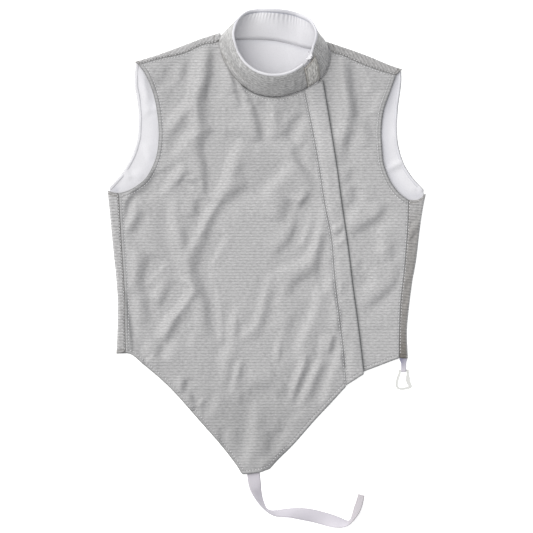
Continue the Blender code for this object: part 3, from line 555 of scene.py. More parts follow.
@dataclass(frozen=True)
class Finish:
    """What one kind of surface is made of, with its Principled settings.

    `shade_tint` is how much of its red, green and blue a place loses where shade is painted
    in fully. Lengths in the finishes are in millimetres.
    """

    name: str
    colour: str
    roughness: float = 0.6
    metallic: float = 0.0
    ior: float = 1.5
    shade_tint: tuple[float, float, float] = (0.60, 0.625, 0.66)

    def start(self) -> tuple[Material, NodeTree, Node]:
        """Make the material with its constant settings.

        Returns:
            The material, its tree and its Principled shader.
        """
        material = bpy.data.materials.new(self.name)
        material.use_nodes = True
        tree = material.node_tree
        shader = tree.nodes["Principled BSDF"]
        shader.inputs["Base Color"].default_value = linear(self.colour)
        shader.inputs["Metallic"].default_value = self.metallic
        shader.inputs["Roughness"].default_value = self.roughness
        shader.inputs["IOR"].default_value = self.ior
        return material, tree, shader

    def cut(self, tree: NodeTree) -> NodeSocket:
        """The place in the cut cloth as x and y, in millimetres, with the painted shade as z."""
        return add_node(tree, "ShaderNodeAttribute", attribute_name="cut").outputs["Vector"]

    def split(self, tree: NodeTree, vector: NodeSocket) -> NodeOutputs:
        """A vector's X, Y and Z."""
        return add_node(tree, "ShaderNodeSeparateXYZ", {0: vector}).outputs

    def place(self, tree: NodeTree, size: tuple[float, float]) -> NodeSocket:
        """Coordinates in the cut cloth that grow by 1 over each of two lengths."""
        links = {0: self.cut(tree), 1: (1 / size[0], 1 / size[1], 0.0)}
        return add_node(tree, "ShaderNodeVectorMath", links, operation="MULTIPLY").outputs[0]

    def mottle(self, tree: NodeTree, size: tuple[float, float], detail: float = 2.0) -> NodeSocket:
        """Noise with grains of a size."""
        links = {"Vector": self.place(tree, size), "Scale": 1.0, "Detail": detail, "Roughness": 0.6}
        return add_node(tree, "ShaderNodeTexNoise", links, noise_dimensions="2D").outputs["Fac"]

    def sums(self, tree: NodeTree, *terms: tuple[NodeSocket | float, float]) -> NodeSocket:
        """Add up values.

        Args:
            tree: The material's tree.
            terms: Each value, a socket or a number, and what it is times.

        Returns:
            The sum.
        """
        total: NodeSocket | float = 0.0
        for value, share in terms:
            links = {0: value, 1: share, 2: total}
            total = add_node(tree, "ShaderNodeMath", links, operation="MULTIPLY_ADD").outputs[0]
        return total

    def tinted(
        self, tree: NodeTree, shader: Node, factor: NodeSocket, painted_shade: NodeSocket | None = None
    ) -> None:
        """Set the shader's colour to the finish's own times a factor, and darker where shade is painted."""
        links = {0: linear(self.colour)[:3], "Scale": factor}
        colour = add_node(tree, "ShaderNodeVectorMath", links, operation="SCALE").outputs[0]
        if painted_shade:
            links = {0: painted_shade, 1: [-share for share in self.shade_tint], 2: (1.0, 1.0, 1.0)}
            kept = add_node(tree, "ShaderNodeVectorMath", links, operation="MULTIPLY_ADD").outputs[0]
            links = {0: colour, 1: kept}
            colour = add_node(tree, "ShaderNodeVectorMath", links, operation="MULTIPLY").outputs[0]
        tree.links.new(colour, shader.inputs["Base Color"])

    def embossed(self, tree: NodeTree, shader: Node, height: NodeSocket, depth: float) -> None:
        """Raise the surface by a height of 0 to 1 times a depth."""
        bump = add_node(tree, "ShaderNodeBump", {"Height": height, "Distance": depth * MM, "Strength": 1.0})
        tree.links.new(bump.outputs["Normal"], shader.inputs["Normal"])


@dataclass(frozen=True)
class WovenLame(Finish):
    """Lame: polyester woven with fine metal thread, in cross ribs.

    The metal gives a grey, satin face without a clear reflection. The weave's real ribs are
    near 1 mm, too fine to show, so they are drawn at `rib`, and they wander a little. Uneven
    thread tension streaks them along the rib, and glints of stray threads are painted in as
    small highlights. The ribs run across the cut, or `along` it.
    """

    rib: float = 4.7
    rib_depth: float = 0.20
    streaks: float = 0.85
    grain: float = 0.20
    along: bool = False
    wander: tuple[float, float] = (45.0, 30.0)
    wandering: float = 0.6
    streak: tuple[float, float] = (5.4, 2.2)
    thread: tuple[float, float] = (1.7, 1.7)
    patch: tuple[float, float] = (38.0, 26.0)
    painted_glint: tuple[float, float] = (3.2, 1.5)
    unevenness: float = 0.10
    relief: float = 0.19

    def make(self) -> Material:
        """Build the material."""
        material, tree, shader = self.start()
        cut = self.split(tree, self.cut(tree))
        turns = 2 * math.pi / self.rib
        wander = self.mottle(tree, self.wander, 1.0)
        phase = self.sums(tree, (cut["X" if self.along else "Y"], turns), (wander, self.wandering * turns))
        wave = add_node(tree, "ShaderNodeMath", {0: phase}, operation="COSINE").outputs[0]
        lifted = self.sums(tree, (wave, 0.5), (1.0, 0.5))
        valley = add_node(tree, "ShaderNodeMath", {0: lifted, 1: 2.0}, operation="POWER").outputs[0]
        streak = self.mottle(tree, self.streak[::-1] if self.along else self.streak, 3.0)
        thread = self.mottle(tree, self.thread, 1.0)
        patch = self.mottle(tree, self.patch)
        # Painted glints: small bright specks in the colour that stand in for light caught by stray threads.
        links = {"Value": self.mottle(tree, self.painted_glint, 1.0), "From Min": 0.66, "From Max": 0.78}
        painted_glint = add_node(tree, "ShaderNodeMapRange", links).outputs[0]
        uneven = self.sums(tree, (patch, 1.2), (streak, 0.8))
        ribbed = add_node(tree, "ShaderNodeMath", {0: valley, 1: uneven}, operation="MULTIPLY").outputs[0]
        # What the ribs take and the noises add on average is made up for here.
        mean = 1.0 + 0.45 * self.rib_depth - 0.5 * (self.streaks + self.grain) - 0.06
        factor = self.sums(
            tree, (1.0, mean), (ribbed, -self.rib_depth), (streak, self.streaks), (thread, self.grain),
            (patch, self.unevenness), (painted_glint, self.unevenness),
        )
        self.tinted(tree, shader, factor, cut["Z"])
        rough = self.sums(tree, (1.0, self.roughness - 0.06), (streak, 0.12))
        tree.links.new(rough, shader.inputs["Roughness"])
        height = self.sums(tree, (valley, -0.6), (streak, 0.6), (thread, 0.5))
        self.embossed(tree, shader, height, self.relief)
        return material


@dataclass(frozen=True)
class KnitLining(Finish):
    """Lining: white warp-knit polyester, which gives a soft, faintly blue face.

    Its real loops are near 0.8 mm, too fine to show, so they are drawn at `loop`.
    """

    loop: float = 2.2
    cloud: tuple[float, float] = (22.0, 30.0)
    sheen: float = 0.15
    relief: float = 0.12

    def make(self) -> Material:
        """Build the material."""
        material, tree, shader = self.start()
        shader.inputs["Sheen Weight"].default_value = self.sheen
        links = {"Vector": self.place(tree, (self.loop, self.loop)), "Scale": 1.0}
        mesh = add_node(tree, "ShaderNodeTexVoronoi", links, voronoi_dimensions="2D", feature="F1")
        loops = mesh.outputs["Distance"]
        cloud = self.mottle(tree, self.cloud)
        painted_shade = self.split(tree, self.cut(tree))["Z"]
        self.tinted(tree, shader, self.sums(tree, (1.0, 0.99), (loops, -0.05), (cloud, 0.06)), painted_shade)
        self.embossed(tree, shader, self.sums(tree, (loops, -0.6), (cloud, 0.5)), self.relief)
        return material


@dataclass(frozen=True)
class WovenElastic(Finish):
    """Elastic and tape: white polyester webbing, matt, with lengthwise ribs and fine picks across."""

    rib: float = 1.6
    pick: float = 2.4
    cloud: tuple[float, float] = (9.0, 14.0)
    relief: float = 0.12

    def make(self) -> Material:
        """Build the material."""
        material, tree, shader = self.start()
        place = self.split(tree, self.place(tree, (self.rib, self.pick)))
        phases = [self.sums(tree, (place[axis], 2 * math.pi)) for axis in ("X", "Y")]
        rib, pick = (add_node(tree, "ShaderNodeMath", {0: p}, operation="SINE").outputs[0] for p in phases)
        cloud = self.mottle(tree, self.cloud)
        painted_shade = self.split(tree, self.cut(tree))["Z"]
        factor = self.sums(tree, (1.0, 0.97), (rib, 0.02), (pick, 0.015), (cloud, 0.05))
        self.tinted(tree, shader, factor, painted_shade)
        self.embossed(tree, shader, self.sums(tree, (rib, 0.35), (pick, 0.18), (cloud, 0.2)), self.relief)
        return material


@dataclass(frozen=True)
class SewingThread(Finish):
    """Thread: twisted polyester, light grey, whose twist is drawn as a fine slanting line."""

    twist: float = 0.9
    relief: float = 0.05

    def make(self) -> Material:
        """Build the material."""
        material, tree, shader = self.start()
        place = add_node(tree, "ShaderNodeTexCoord").outputs["Object"]
        # The node's bands are 1/20 of its unit apart.
        links = {"Vector": place, "Scale": 1 / (self.twist * MM) / 20, "Distortion": 0.5}
        wave = add_node(tree, "ShaderNodeTexWave", links, bands_direction="DIAGONAL").outputs["Fac"]
        self.tinted(tree, shader, self.sums(tree, (1.0, 0.92), (wave, 0.12)))
        self.embossed(tree, shader, wave, self.relief)
        return material


@dataclass(frozen=True)
class MouldedPlastic(Finish):
    """Acetal: injection moulded and milky, a little glossy, with faint flow marks."""

    flow: float = 6.0
    scatter: float = 2.0
    relief: float = 0.03

    def make(self) -> Material:
        """Build the material."""
        material, tree, shader = self.start()
        shader.inputs["Subsurface Weight"].default_value = 0.2
        shader.inputs["Subsurface Radius"].default_value = (self.scatter * MM,) * 3
        place = add_node(tree, "ShaderNodeTexCoord").outputs["Object"]
        links = {"Vector": place, "Scale": 1 / (self.flow * MM), "Detail": 3.0}
        marks = add_node(tree, "ShaderNodeTexNoise", links).outputs["Fac"]
        self.tinted(tree, shader, self.sums(tree, (1.0, 0.95), (marks, 0.1)))
        rough = self.sums(tree, (1.0, self.roughness - 0.06), (marks, 0.12))
        tree.links.new(rough, shader.inputs["Roughness"])
        self.embossed(tree, shader, marks, self.relief)
        return material


@dataclass(frozen=True)
class Palette:
    """Every finish of the vest, as made materials."""

    lame: Material
    turned: Material
    collar: Material
    tab: Material
    lining: Material
    elastic: Material
    loop: Material
    tape: Material
    teeth: Material
    stops: Material
    thread: Material
    hook: Material

    @classmethod
    def mix(cls) -> Palette:
        """Make the materials."""
        satin = {"metallic": 0.2, "roughness": 0.65}
        crushed = {"metallic": 0.2, "roughness": 0.62}
        gloss = {"roughness": 0.35, "ior": 1.48}
        elastic = WovenElastic("white_woven_elastic", "#bfbcc4", roughness=0.7)
        finishes = {
            "lame": WovenLame("silver_lame_woven", "#a4a4a5", shade_tint=(0.63, 0.62, 0.62), **satin),
            "turned": WovenLame(
                "silver_lame_at_folds", "#a6a6a7", rib_depth=0.26, streaks=1.2, grain=0.4, **satin
            ),
            "collar": WovenLame(
                "silver_lame_collar_band", "#acacac", rib_depth=0.12, streaks=1.6, grain=0.4, **crushed
            ),
            # The tab's lame is painted lighter than the band's, standing in for light.
            "tab": WovenLame(
                "silver_lame_tab_painted_lighter", "#bcbbb8", rib_depth=0.25, streaks=2.1, grain=0.5, along=True, **crushed
            ),
            "lining": KnitLining(
                "white_polyester_knit", "#d0d0d4", roughness=0.75, shade_tint=(0.65, 0.63, 0.54)
            ),
            "elastic": elastic,
            "loop": replace(elastic, name="white_woven_elastic_shaded", shade_tint=(0.66, 0.65, 0.55)),
            "tape": WovenElastic("zip_tape_herringbone", "#cfcfd3", roughness=0.7),
            "teeth": MouldedPlastic("zip_teeth_acetal", "#b9b9bb", **gloss),
            "stops": MouldedPlastic("zip_stops_lacquered", "#4a4a4a", roughness=0.4, ior=1.48),
            "thread": SewingThread("grey_polyester_thread", "#d8d8da"),
            "hook": MouldedPlastic("white_acetal_moulded", "#cbccca", **gloss),
        }
        return cls(**{name: finish.make() for name, finish in finishes.items()})


# ---- mesh builders


@dataclass
class Skin:
    """One face of a piece of cloth.

    `cut` gives each point its place in the cut cloth, which the weave follows, and how much
    shade is painted on it.
    """

    points: Array
    faces: list[tuple[int, ...]]
    cut: Array

    def facing_up(self, number: int) -> Skin:
        """The skin, turned over where its face of this number looks down."""
        a, b, c = (self.points[index] for index in self.faces[number][:3])
        if np.cross(b - a, c - a)[2] < 0:
            self.faces = [face[::-1] for face in self.faces]
        return self

    def build(self, name: str, material: Material, wall: float = 0.0, offset: float = -1.0) -> Object:
        """Make the object.

        Args:
            name: Its name.
            material: Its finish.
            wall: The cloth's thickness.
            offset: -1 grows the thickness away from the face, 0 to both sides.

        Returns:
            The object, in the frame's metres.
        """
        mesh = bpy.data.meshes.new(name)
        mesh.from_pydata((self.points * MM).tolist(), [], self.faces)
        cut = mesh.attributes.new("cut", "FLOAT_VECTOR", "POINT")
        cut.data.foreach_set("vector", self.cut.astype(np.float32).ravel())
        mesh.shade_smooth()
        mesh.materials.append(material)
        obj = bpy.data.objects.new(name, mesh)
        bpy.context.scene.collection.objects.link(obj)
        if wall:
            cloth = obj.modifiers.new("cloth", "SOLIDIFY")
            cloth.thickness = wall * MM
            cloth.offset = offset
            cloth.use_even_offset = True
        return obj


def joined(skins: Sequence[Skin]) -> Skin:
    """Put several skins in one."""
    faces, count = [], 0
    for skin in skins:
        faces.extend(tuple(index + count for index in face) for face in skin.faces)
        count += len(skin.points)
    return Skin(np.vstack([s.points for s in skins]), faces, np.vstack([s.cut for s in skins]))


def grid(points: Array, cut: Array, closed: bool = False) -> Skin:
    """Join rows of points with quads.

    Args:
        points: Rows by columns by x, y, z.
        cut: Rows by columns by place in the cut and painted shade.
        closed: Whether the last column joins the first, with a cap on the first and last rows.

    Returns:
        The skin, which faces outward where it is closed.
    """
    rows, columns = points.shape[:2]
    index = np.arange(rows * columns).reshape(rows, columns)
    after = np.roll(index, -1, axis=1)
    reach = columns if closed else columns - 1
    corners = np.stack([index[:-1], after[:-1], after[1:], index[1:]], axis=2)[:, :reach]
    faces = [tuple(face) for face in corners.reshape(-1, 4).tolist()]
    flat = points.reshape(-1, 3)
    if closed:
        spokes = flat[np.array([face[:3] for face in faces])] - flat.mean(axis=0)
        faces += [tuple(index[0][::-1].tolist()), tuple(index[-1].tolist())]
        if np.linalg.det(spokes).sum() < 0:
            faces = [face[::-1] for face in faces]
    return Skin(flat, faces, cut.reshape(-1, 3))


def spread(outline: Array, offsets: Sequence[float], spacing: float) -> Array:
    """Points inside an outline, in rows that follow it and in staggered rows between them.

    Args:
        outline: Its points in plan, without the first again at the end.
        offsets: How far in from it rows of points follow it.
        spacing: How far apart the points between are.

    Returns:
        The outline's points and then the others.
    """
    closed = np.vstack([outline, outline[:1]])
    left = turns_left(outline)
    groups = [outline]
    for offset in offsets:
        row = shifted(closed, offset if left else -offset)[:-1]
        row = row[inside(row, outline)]
        groups.append(row[nearest(row, closed)[0] > ROW_CLEAR * offset])
    low, high = outline.min(axis=0), outline.max(axis=0)
    rows = []
    for number, level in enumerate(np.arange(low[1], high[1], spacing * math.sqrt(3) / 2)):
        across = np.arange(low[0] + 0.5 * spacing * (number % 2), high[0], spacing)
        rows.append(np.column_stack([across, np.full(len(across), level)]))
    middle = np.vstack(rows)
    middle = middle[inside(middle, outline)]
    away = nearest(middle, closed)[0]
    groups.append(middle[away > max(offsets, default=0.0) + 0.5 * spacing])
    return np.vstack(groups)


def fill(outline: Array, offsets: Sequence[float], spacing: float) -> tuple[Array, list[tuple[int, ...]]]:
    """Fill an outline with triangles.

    Args:
        outline: Its points in plan, without the first again at the end.
        offsets: How far in from it rows of points follow it.
        spacing: How far apart the points between are.

    Returns:
        The points in plan, and triangles that face up.
    """
    points = [Vector(point) for point in spread(outline, offsets, spacing)]
    rim = len(outline)
    edges = [(index, (index + 1) % rim) for index in range(rim)]
    corners, _, triangles, *_ = delaunay_2d_cdt(points, edges, [], 1, MERGED)
    faces = []
    for a, b, c in triangles:
        turn = (corners[b] - corners[a]).cross(corners[c] - corners[a])
        faces.append((a, b, c) if turn > 0 else (a, c, b))
    return np.array([corner[:] for corner in corners]), faces


@dataclass(frozen=True)
class Trim:
    """One edge of a panel.

    It has rows of stitching `rows` in from its line, with shade painted in their grooves as dark
    as `row_shade`, and its stitches lie `sunk` under the face. The edge itself rolls down by
    `roll`, with shade painted along it as dark as `painted_shade`.
    """

    line: Array
    rows: tuple[float, ...] = ()
    roll: float = 0.8
    painted_shade: float = 0.45
    row_shade: float = 0.4
    sunk: float = 0.0


@dataclass
class Panel:
    """A flat-cut piece of cloth between its trims, lying on a height over the table.

    `height` gives the height of its upper face, `patches` soft places painted darker, or lighter
    below 0, as x, y, half width, half height and how dark, and `shades` lines of painted shade
    as the line, its half width and how dark. `around` is its outline, where that isn't its
    trims end to end.
    """

    name: str
    trims: list[Trim]
    height: Callable[[Array], Array]
    wall: float
    spacing: float = 3.0
    offsets: Sequence[float] = STITCH_OFFSETS
    patches: Rows = ()
    shades: Sequence[Shade] = ()
    around: Array | None = None

    def outline(self) -> Array:
        """Its outline in plan."""
        if self.around is not None:
            return self.around
        return apart(np.vstack([trim.line for trim in self.trims]))

    def top(self, points: Array) -> tuple[Array, Array]:
        """Height and painted shade of the upper face at points in plan."""
        height = self.height(points)
        painted_shade = np.zeros(len(points))
        for trim in self.trims:
            away = nearest(points, trim.line)[0]
            height = height - trim.roll * hump(away, EDGE_ROLL)
            painted_shade = np.maximum(painted_shade, trim.painted_shade * hump(away, 1.5 * EDGE_ROLL))
            for row in trim.rows:
                height = height - GROOVE_DEPTH * hump(away - row, GROOVE)
                painted_shade = np.maximum(painted_shade, trim.row_shade * hump(away - row, GROOVE))
        for x, y, half_x, half_y, amount in self.patches:
            reach = np.hypot((points[:, 0] - x) / half_x, (points[:, 1] - y) / half_y)
            painted_shade = painted_shade + amount * hump(reach, 1.0)
        for line, half, amount in self.shades:
            painted_shade = np.maximum(painted_shade, amount * hump(nearest(points, line)[0], half))
        return height, painted_shade

    def build(self, material: Material) -> Object:
        """Make the panel."""
        points, faces = fill(self.outline(), self.offsets, self.spacing)
        height, painted_shade = self.top(points)
        skin = Skin(np.column_stack([points, height]), faces, np.column_stack([points, painted_shade]))
        return skin.build(self.name, material, self.wall)

    def stitched(self) -> list[Array]:
        """The rows of stitching, as lines on the upper face."""
        side = 1.0 if turns_left(self.outline()) else -1.0
        rows = []
        for trim in self.trims:
            for offset in trim.rows:
                line = shifted(trim.line, side * offset)
                rows.append(np.column_stack([line, self.top(line)[0] - trim.sunk]))
        return rows


@dataclass(frozen=True)
class Stitching:
    """Rows of lockstitch, each stitch a thread that lies in its groove and dips at both ends.

    Real stitches are near 2.5 mm long and too fine to show, so they are drawn at `pitch`. A
    stitch has points at `spots` of its length, lifted by `lifts` and `widths` thick, both in
    gauges.
    """

    name: str
    length: float = 3.0
    pitch: float = 4.7
    gauge: float = 0.5
    sides: int = 5
    spots: tuple[float, ...] = (-0.5, -0.28, 0.28, 0.5)
    lifts: tuple[float, ...] = (-0.8, 1.2, 1.2, -0.8)
    widths: tuple[float, ...] = (0.35, 1.0, 1.0, 0.35)

    def build(self, lines: Sequence[Array], material: Material) -> Object:
        """Make every stitch of these lines as one piece."""
        skins = [skin for line in lines for skin in self.row(line)]
        return joined(skins).build(self.name, material)

    def row(self, line: Array) -> list[Skin]:
        """The stitches along one line."""
        run = travelled(line)
        made = []
        for middle in np.arange(self.pitch, run[-1] - self.pitch, self.pitch):
            spine = at(line, run, middle + self.length * np.array(self.spots))
            spine[:, 2] += self.gauge * np.array(self.lifts)
            made.append(self.thread(spine))
        return made

    def thread(self, spine: Array) -> Skin:
        """A thread round a short spine, thin at both ends."""
        along = spine[-1] - spine[0]
        along /= np.linalg.norm(along)
        across = np.cross(along, (0.0, 0.0, 1.0))
        across /= np.linalg.norm(across)
        up = np.cross(across, along)
        angles = np.linspace(0, 2 * math.pi, self.sides, endpoint=False)
        spokes = np.outer(np.cos(angles), across) + np.outer(np.sin(angles), up)
        widths = self.gauge * np.array(self.widths)
        points = spine[:, None, :] + widths[:, None, None] * spokes[None]
        return grid(points, np.zeros_like(points), closed=True)


def settle(
    obj: Object, slot: Slot, *nodes: str, flat: tuple[float, float] | None = None,
    area: float | None = None, held: Held = Held.LAID, rests_on: Sequence[str] = (),
) -> Object:
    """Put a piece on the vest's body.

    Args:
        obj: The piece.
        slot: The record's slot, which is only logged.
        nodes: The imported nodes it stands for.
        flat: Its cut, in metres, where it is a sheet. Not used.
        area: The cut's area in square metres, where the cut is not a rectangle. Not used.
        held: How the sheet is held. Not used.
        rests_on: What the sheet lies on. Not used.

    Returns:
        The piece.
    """
    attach(obj, BODY)
    if nodes:
        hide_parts(*nodes)
    LOG.info("%s: %d points, in slot %s", obj.name, len(obj.data.vertices), slot.value)
    return obj


# ---- collar


@dataclass
class Collar:
    """The stand collar: its band, its lining that rolls over the top as a binding, and its tab.

    A share is a fraction of the walk round the neck, clockwise from the flap's sewn edge: 0.06
    is in front, 0.27 at the left side, 0.57 behind and 0.87 at the right side. `up` is a
    fraction of the band's height.
    """

    palette: Palette
    height: float = 52.0
    bulge: float = 3.0
    probe: float = 0.004
    stations: int = 420
    band_rows: int = 22
    span: tuple[float, float] = (-0.014, 0.936)
    band: float = 1.3
    binding: float = 3.6
    flare: float = 4.2
    fold_depths: tuple[float, float] = (-2.4, 0.2)
    rows: Rows = (
        # base_x, base_y, base_z, top_x, top_y
        (60, 277.5, 8.0, 54, 314.5), (44, 271, 8.0, 40, 306), (23, 265.5, 8.0, 22, 301),
        (2, 266, 8.0, 2, 301), (-18, 271, 8.0, -17, 307), (-36, 283, 8.0, -33, 319),
        (-50, 298, 8.0, -43.5, 334), (-61, 320, 8.0, -49.5, 350), (-68.5, 338, 7.0, -52, 363),
        (-72.5, 352, 6.5, -50.5, 374), (-70.5, 360.5, 3.8, -46.5, 384.5), (-62, 360, 0.3, -39.5, 394),
        (-49, 356.5, 0.0, -29, 401), (-30, 356, 0.0, -13, 404), (-8, 356, 0.0, 4, 404.5),
        (15, 354, 0.0, 20, 403.5), (36, 349.5, 0.0, 39, 400.5), (54, 344.5, 0.0, 56, 395),
        (71, 341.5, 0.0, 69, 387.5), (85, 343.5, 0.5, 76, 376), (95, 346.5, 3.5, 78.5, 364.5),
        (99.5, 336, 6.5, 76.5, 354.5), (99, 322, 7.0, 73, 346), (95, 308, 8.0, 71, 338),
        (86.5, 294.5, 8.0, 68, 330), (73, 284, 8.0, 61.5, 321.5),
    )
    inner_rises: tuple[float, ...] = (0, 7, 14, 21, 28, 34, 39, 42.5, 44.8)
    outer_rises: tuple[float, ...] = (39, 28, 14, 0)
    tab_span: tuple[float, float] = (-0.012, -0.067)
    tab_lean: float = -0.034
    tab_flare: float = 8.0
    tab_rise: tuple[float, float, float] = (0.05, 0.84, 0.12)
    tab_cloth: float = 1.2
    tab_cut: tuple[float, float] = (26.0, 40.0)
    tab_row: float = 3.5

    def ring(self, share: Array) -> tuple[Array, Array]:
        """The base and the top of the collar at fractions of its walk round the neck."""
        table = np.asarray(self.rows, float)
        place = (share % 1.0) * len(table)
        first = place.astype(int)
        a, b, c, d = (table[(first + step) % len(table)] for step in (-1, 0, 1, 2))
        row = catmull(a, b, c, d, (place - first)[:, None])
        row[:, 2] = np.maximum(0.0, row[:, 2])
        lean = np.hypot(row[:, 3] - row[:, 0], row[:, 4] - row[:, 1])
        rise = np.sqrt(np.maximum(0.0, self.height**2 - lean**2))
        return row[:, :3], np.column_stack([row[:, 3], row[:, 4], row[:, 2] + rise])

    def point(self, share: Array, up: Array, depth: Array | float = 0.0) -> Array:
        """Find points of the collar.

        Args:
            share: Fractions of its walk round the neck.
            up: Fractions of its height.
            depth: How far inside its outer face they are.

        Returns:
            The points, in the shape that the three have together.
        """
        share, up, depth = np.broadcast_arrays(*(np.asarray(item, float) for item in (share, up, depth)))
        form = share.shape
        share, up, depth = share.ravel(), up.ravel()[:, None], depth.ravel()[:, None]
        base, top = self.ring(share)
        before_base, before_top = self.ring(share - self.probe)
        after_base, after_top = self.ring(share + self.probe)
        along = (after_base - before_base) * (1 - up) + (after_top - before_top) * up
        inward = np.cross(along, top - base)
        inward /= np.linalg.norm(inward, axis=1)[:, None]
        bulge = self.bulge * 4 * up * (1 - up) * (top[:, 2:] - base[:, 2:]) / self.height
        return (base + (top - base) * up + inward * (depth - bulge)).reshape(*form, 3)

    def foot(self, first: float, last: float, depth: float, gap: float) -> Array:
        """A line in plan along the collar's base, to the left by gap of what is depth inside it."""
        shares = np.linspace(first, last, max(2, round((last - first) * 160)))
        return shifted(self.point(shares, 0.0, depth)[:, :2], gap)

    def cut(self, shares: Array, ups: Array, painted_shade: Array) -> Array:
        """Find the places in the cut band of a grid of points.

        Args:
            shares: The grid's fractions of the walk round the neck.
            ups: Its fractions of the height.
            painted_shade: How much shade is painted on each of its points.

        Returns:
            The places, with their painted shade.
        """
        around = travelled(self.point(shares, 0.5))
        across, along = np.meshgrid(around, ups * self.height, indexing="ij")
        return np.stack([across, along, painted_shade], axis=2)

    def make(self) -> list[Object]:
        """Build the band, the lining and the tab."""
        return [self.outer_band(), self.lining(), self.tab()]

    def rolls(self, share: Array, up: Array) -> Array:
        """How far in the band's low rolls at its left side and its ripples in front lie."""
        depth = 0.7 * hump(share - 0.27, 0.10) * np.sin(up * 4.2 * math.pi + 0.6 + 9 * share)
        left_side = hump(share - 0.275, 0.085)
        depth += left_side * (1.0 * hump(up - 0.40, 0.10) - 1.8 * hump(up - 0.68, 0.14))
        depth += 0.35 * np.sin(up * 9 + 38 * share) * np.sin(21 * share)
        ripples = np.sin(175 * share + 5 * up + 3 * np.sin(25 * share)) * np.sin(math.pi * up)
        return depth + 0.35 * hump(share - 0.06, 0.10) * ripples

    def outer_band(self) -> Object:
        """The band of lame: rolled, with a fold at its left foot and gathers at its right side."""
        shares = np.linspace(*self.span, self.stations)
        ups = np.linspace(0.0, 1 - self.binding / self.height, self.band_rows)
        share, up = np.meshgrid(shares, ups, indexing="ij")
        rise = up * self.height
        fold_up = np.interp(share, (0.17, 0.21, 0.23, 0.27, 0.31), (0.36, 0.33, 0.31, 0.12, 0.0))
        folded = ease((share - 0.15) / 0.05) * ease((0.33 - share) / 0.05)
        gathered = ease((share - 0.80) / 0.03) * ease((0.945 - share) / 0.02)
        gathers = np.sin(2 * math.pi * 78 * share + 1.6 * np.sin(40 * share) + 1.2 * up)
        depth = self.rolls(share, up) - 1.4 * folded * hump(up - fold_up + 0.10, 0.07)
        depth = np.clip(depth + 0.45 * gathered * gathers, *self.fold_depths)
        depth += 0.7 * hump(rise, 1.4) * (1 - 0.9 * hump(share - 0.3, 0.08))
        depth -= self.flare * hump(share - 0.29, 0.08) * hump(rise, 8.0)
        # Shade is painted along the band's foot in front and at its right side, along the fold at its left
        # foot, over the gathers and faintly over the front.
        painted_shade = (0.7 * hump(share - 0.04, 0.13) + 0.35 * hump(share - 0.9, 0.1)) * hump(rise, 1.8)
        painted_shade += folded * (0.30 * hump(up - fold_up, 0.045) + 0.35 * hump(rise - 1.0, 3.0))
        painted_shade += 0.06 * gathered * (0.5 + 0.5 * gathers) + 0.06 * hump(share - 0.06, 0.12)
        skin = grid(self.point(share, up, depth), self.cut(shares, ups, painted_shade))
        return settle(
            skin.build("collar_band", self.palette.collar, self.band), Slot.COLLAR, "collar_outer",
            flat=(0.405, 0.048), area=0.0192, held=Held.FOLDED, rests_on=("vest_front_right",),
        )

    def lining_section(self) -> Array:
        """The lining's section: how far up each of its points is, and how deep.

        It runs up inside the band, over the top as a rolled binding, and down again against the
        band's inner face.
        """
        near = self.band + SEAM_GAP
        far = near + LINING_CLOTH
        return np.array([
            *((rise, far) for rise in self.inner_rises),
            (46.0, far - 0.5), (47.0, far + 0.2), (48.6, far + 0.6), (50.4, far + 0.4), (51.7, far - 0.5),
            (52.2, 1.2), (51.8, 0.1), (50.6, -0.45), (49.3, -0.45), (48.6, -0.1), (48.6, near),
            *((rise, near) for rise in self.outer_rises),
        ])

    def lining(self) -> Object:
        """The lining, puckered under the binding that it forms over the top edge."""
        section = self.lining_section()
        near = self.band + SEAM_GAP
        shares = np.linspace(*self.span, self.stations)
        share, rise = np.meshgrid(shares, section[:, 0], indexing="ij")
        inner = np.broadcast_to(np.arange(len(section)) < len(self.inner_rises), share.shape)
        ripple = np.sin(share * 2 * math.pi * 84 + 2.0 * np.sin(share * 60)) * hump(rise - 42.5, 6.0)
        waves = 0.5 * np.sin(share * 46 + rise * 0.09) * np.clip(rise / 14, 0, 1)
        depth = section[:, 1] + np.where(inner, 0.75 * ripple + waves * (rise < 41), 0.0)
        behind = hump(share - 0.57, 0.2)
        # Shade is painted just under the binding inside, on its outer side and over its top behind, and along
        # the puckers; below 0, light is painted on the inner face near the left side.
        painted_shade = (0.25 + 0.6 * behind) * hump(rise - 46.0, 0.9) * (depth > near)
        painted_shade += 0.75 * behind * (depth < 0.5) + 0.06 * behind * ripple
        painted_shade += 0.16 * behind * ease((rise - 47.0) / 2.0) * (depth > 0.5)
        painted_shade -= 0.36 * inner * hump(share - 0.40, 0.11)
        cut = self.cut(shares, section[:, 0] / self.height, painted_shade)
        skin = grid(self.point(share, rise / self.height, depth), cut, closed=True)
        return settle(
            skin.build("collar_lining_bound", self.palette.lining), Slot.LINING, "collar_lining",
            flat=(0.40, 0.056), area=0.0215, held=Held.FOLDED, rests_on=("collar_band",),
        )

    def tab(self) -> Object:
        """The tab over the collar's two ends, which stands off it at its upper free corner."""
        sewn, free = self.tab_span
        low, high, more = self.tab_rise
        wide, long = self.tab_cut
        across, run = np.meshgrid(np.linspace(0, 1, 22), np.linspace(0, 1, 26), indexing="ij")
        up = low + run * (high + more * across - low)
        share = sewn + (free - sewn + self.tab_lean * up) * across
        edge = np.minimum(np.minimum(run, 1 - run) * long, np.minimum(across, 1 - across) * wide)
        away = SEAM_GAP + self.tab_cloth + self.tab_flare * across * up - 0.7 * hump(edge, 1.2)
        away -= 0.35 * hump(edge - self.tab_row + 0.1, 0.9)
        # Shade is painted along the tab's edges and its row of stitching.
        painted_shade = 1.15 * hump(edge, 1.3) + 0.6 * hump(edge - self.tab_row - 0.1, 0.9)
        cut = np.stack([across * wide, run * long, painted_shade], axis=2)
        skin = grid(self.point(share, up, -away)[::-1], cut[::-1])
        obj = skin.build("collar_tab_sewn", self.palette.tab, self.tab_cloth)
        return settle(obj, Slot.COLLAR, "collar_tab", flat=(0.028, 0.042), rests_on=("collar_band",))


# ---- back


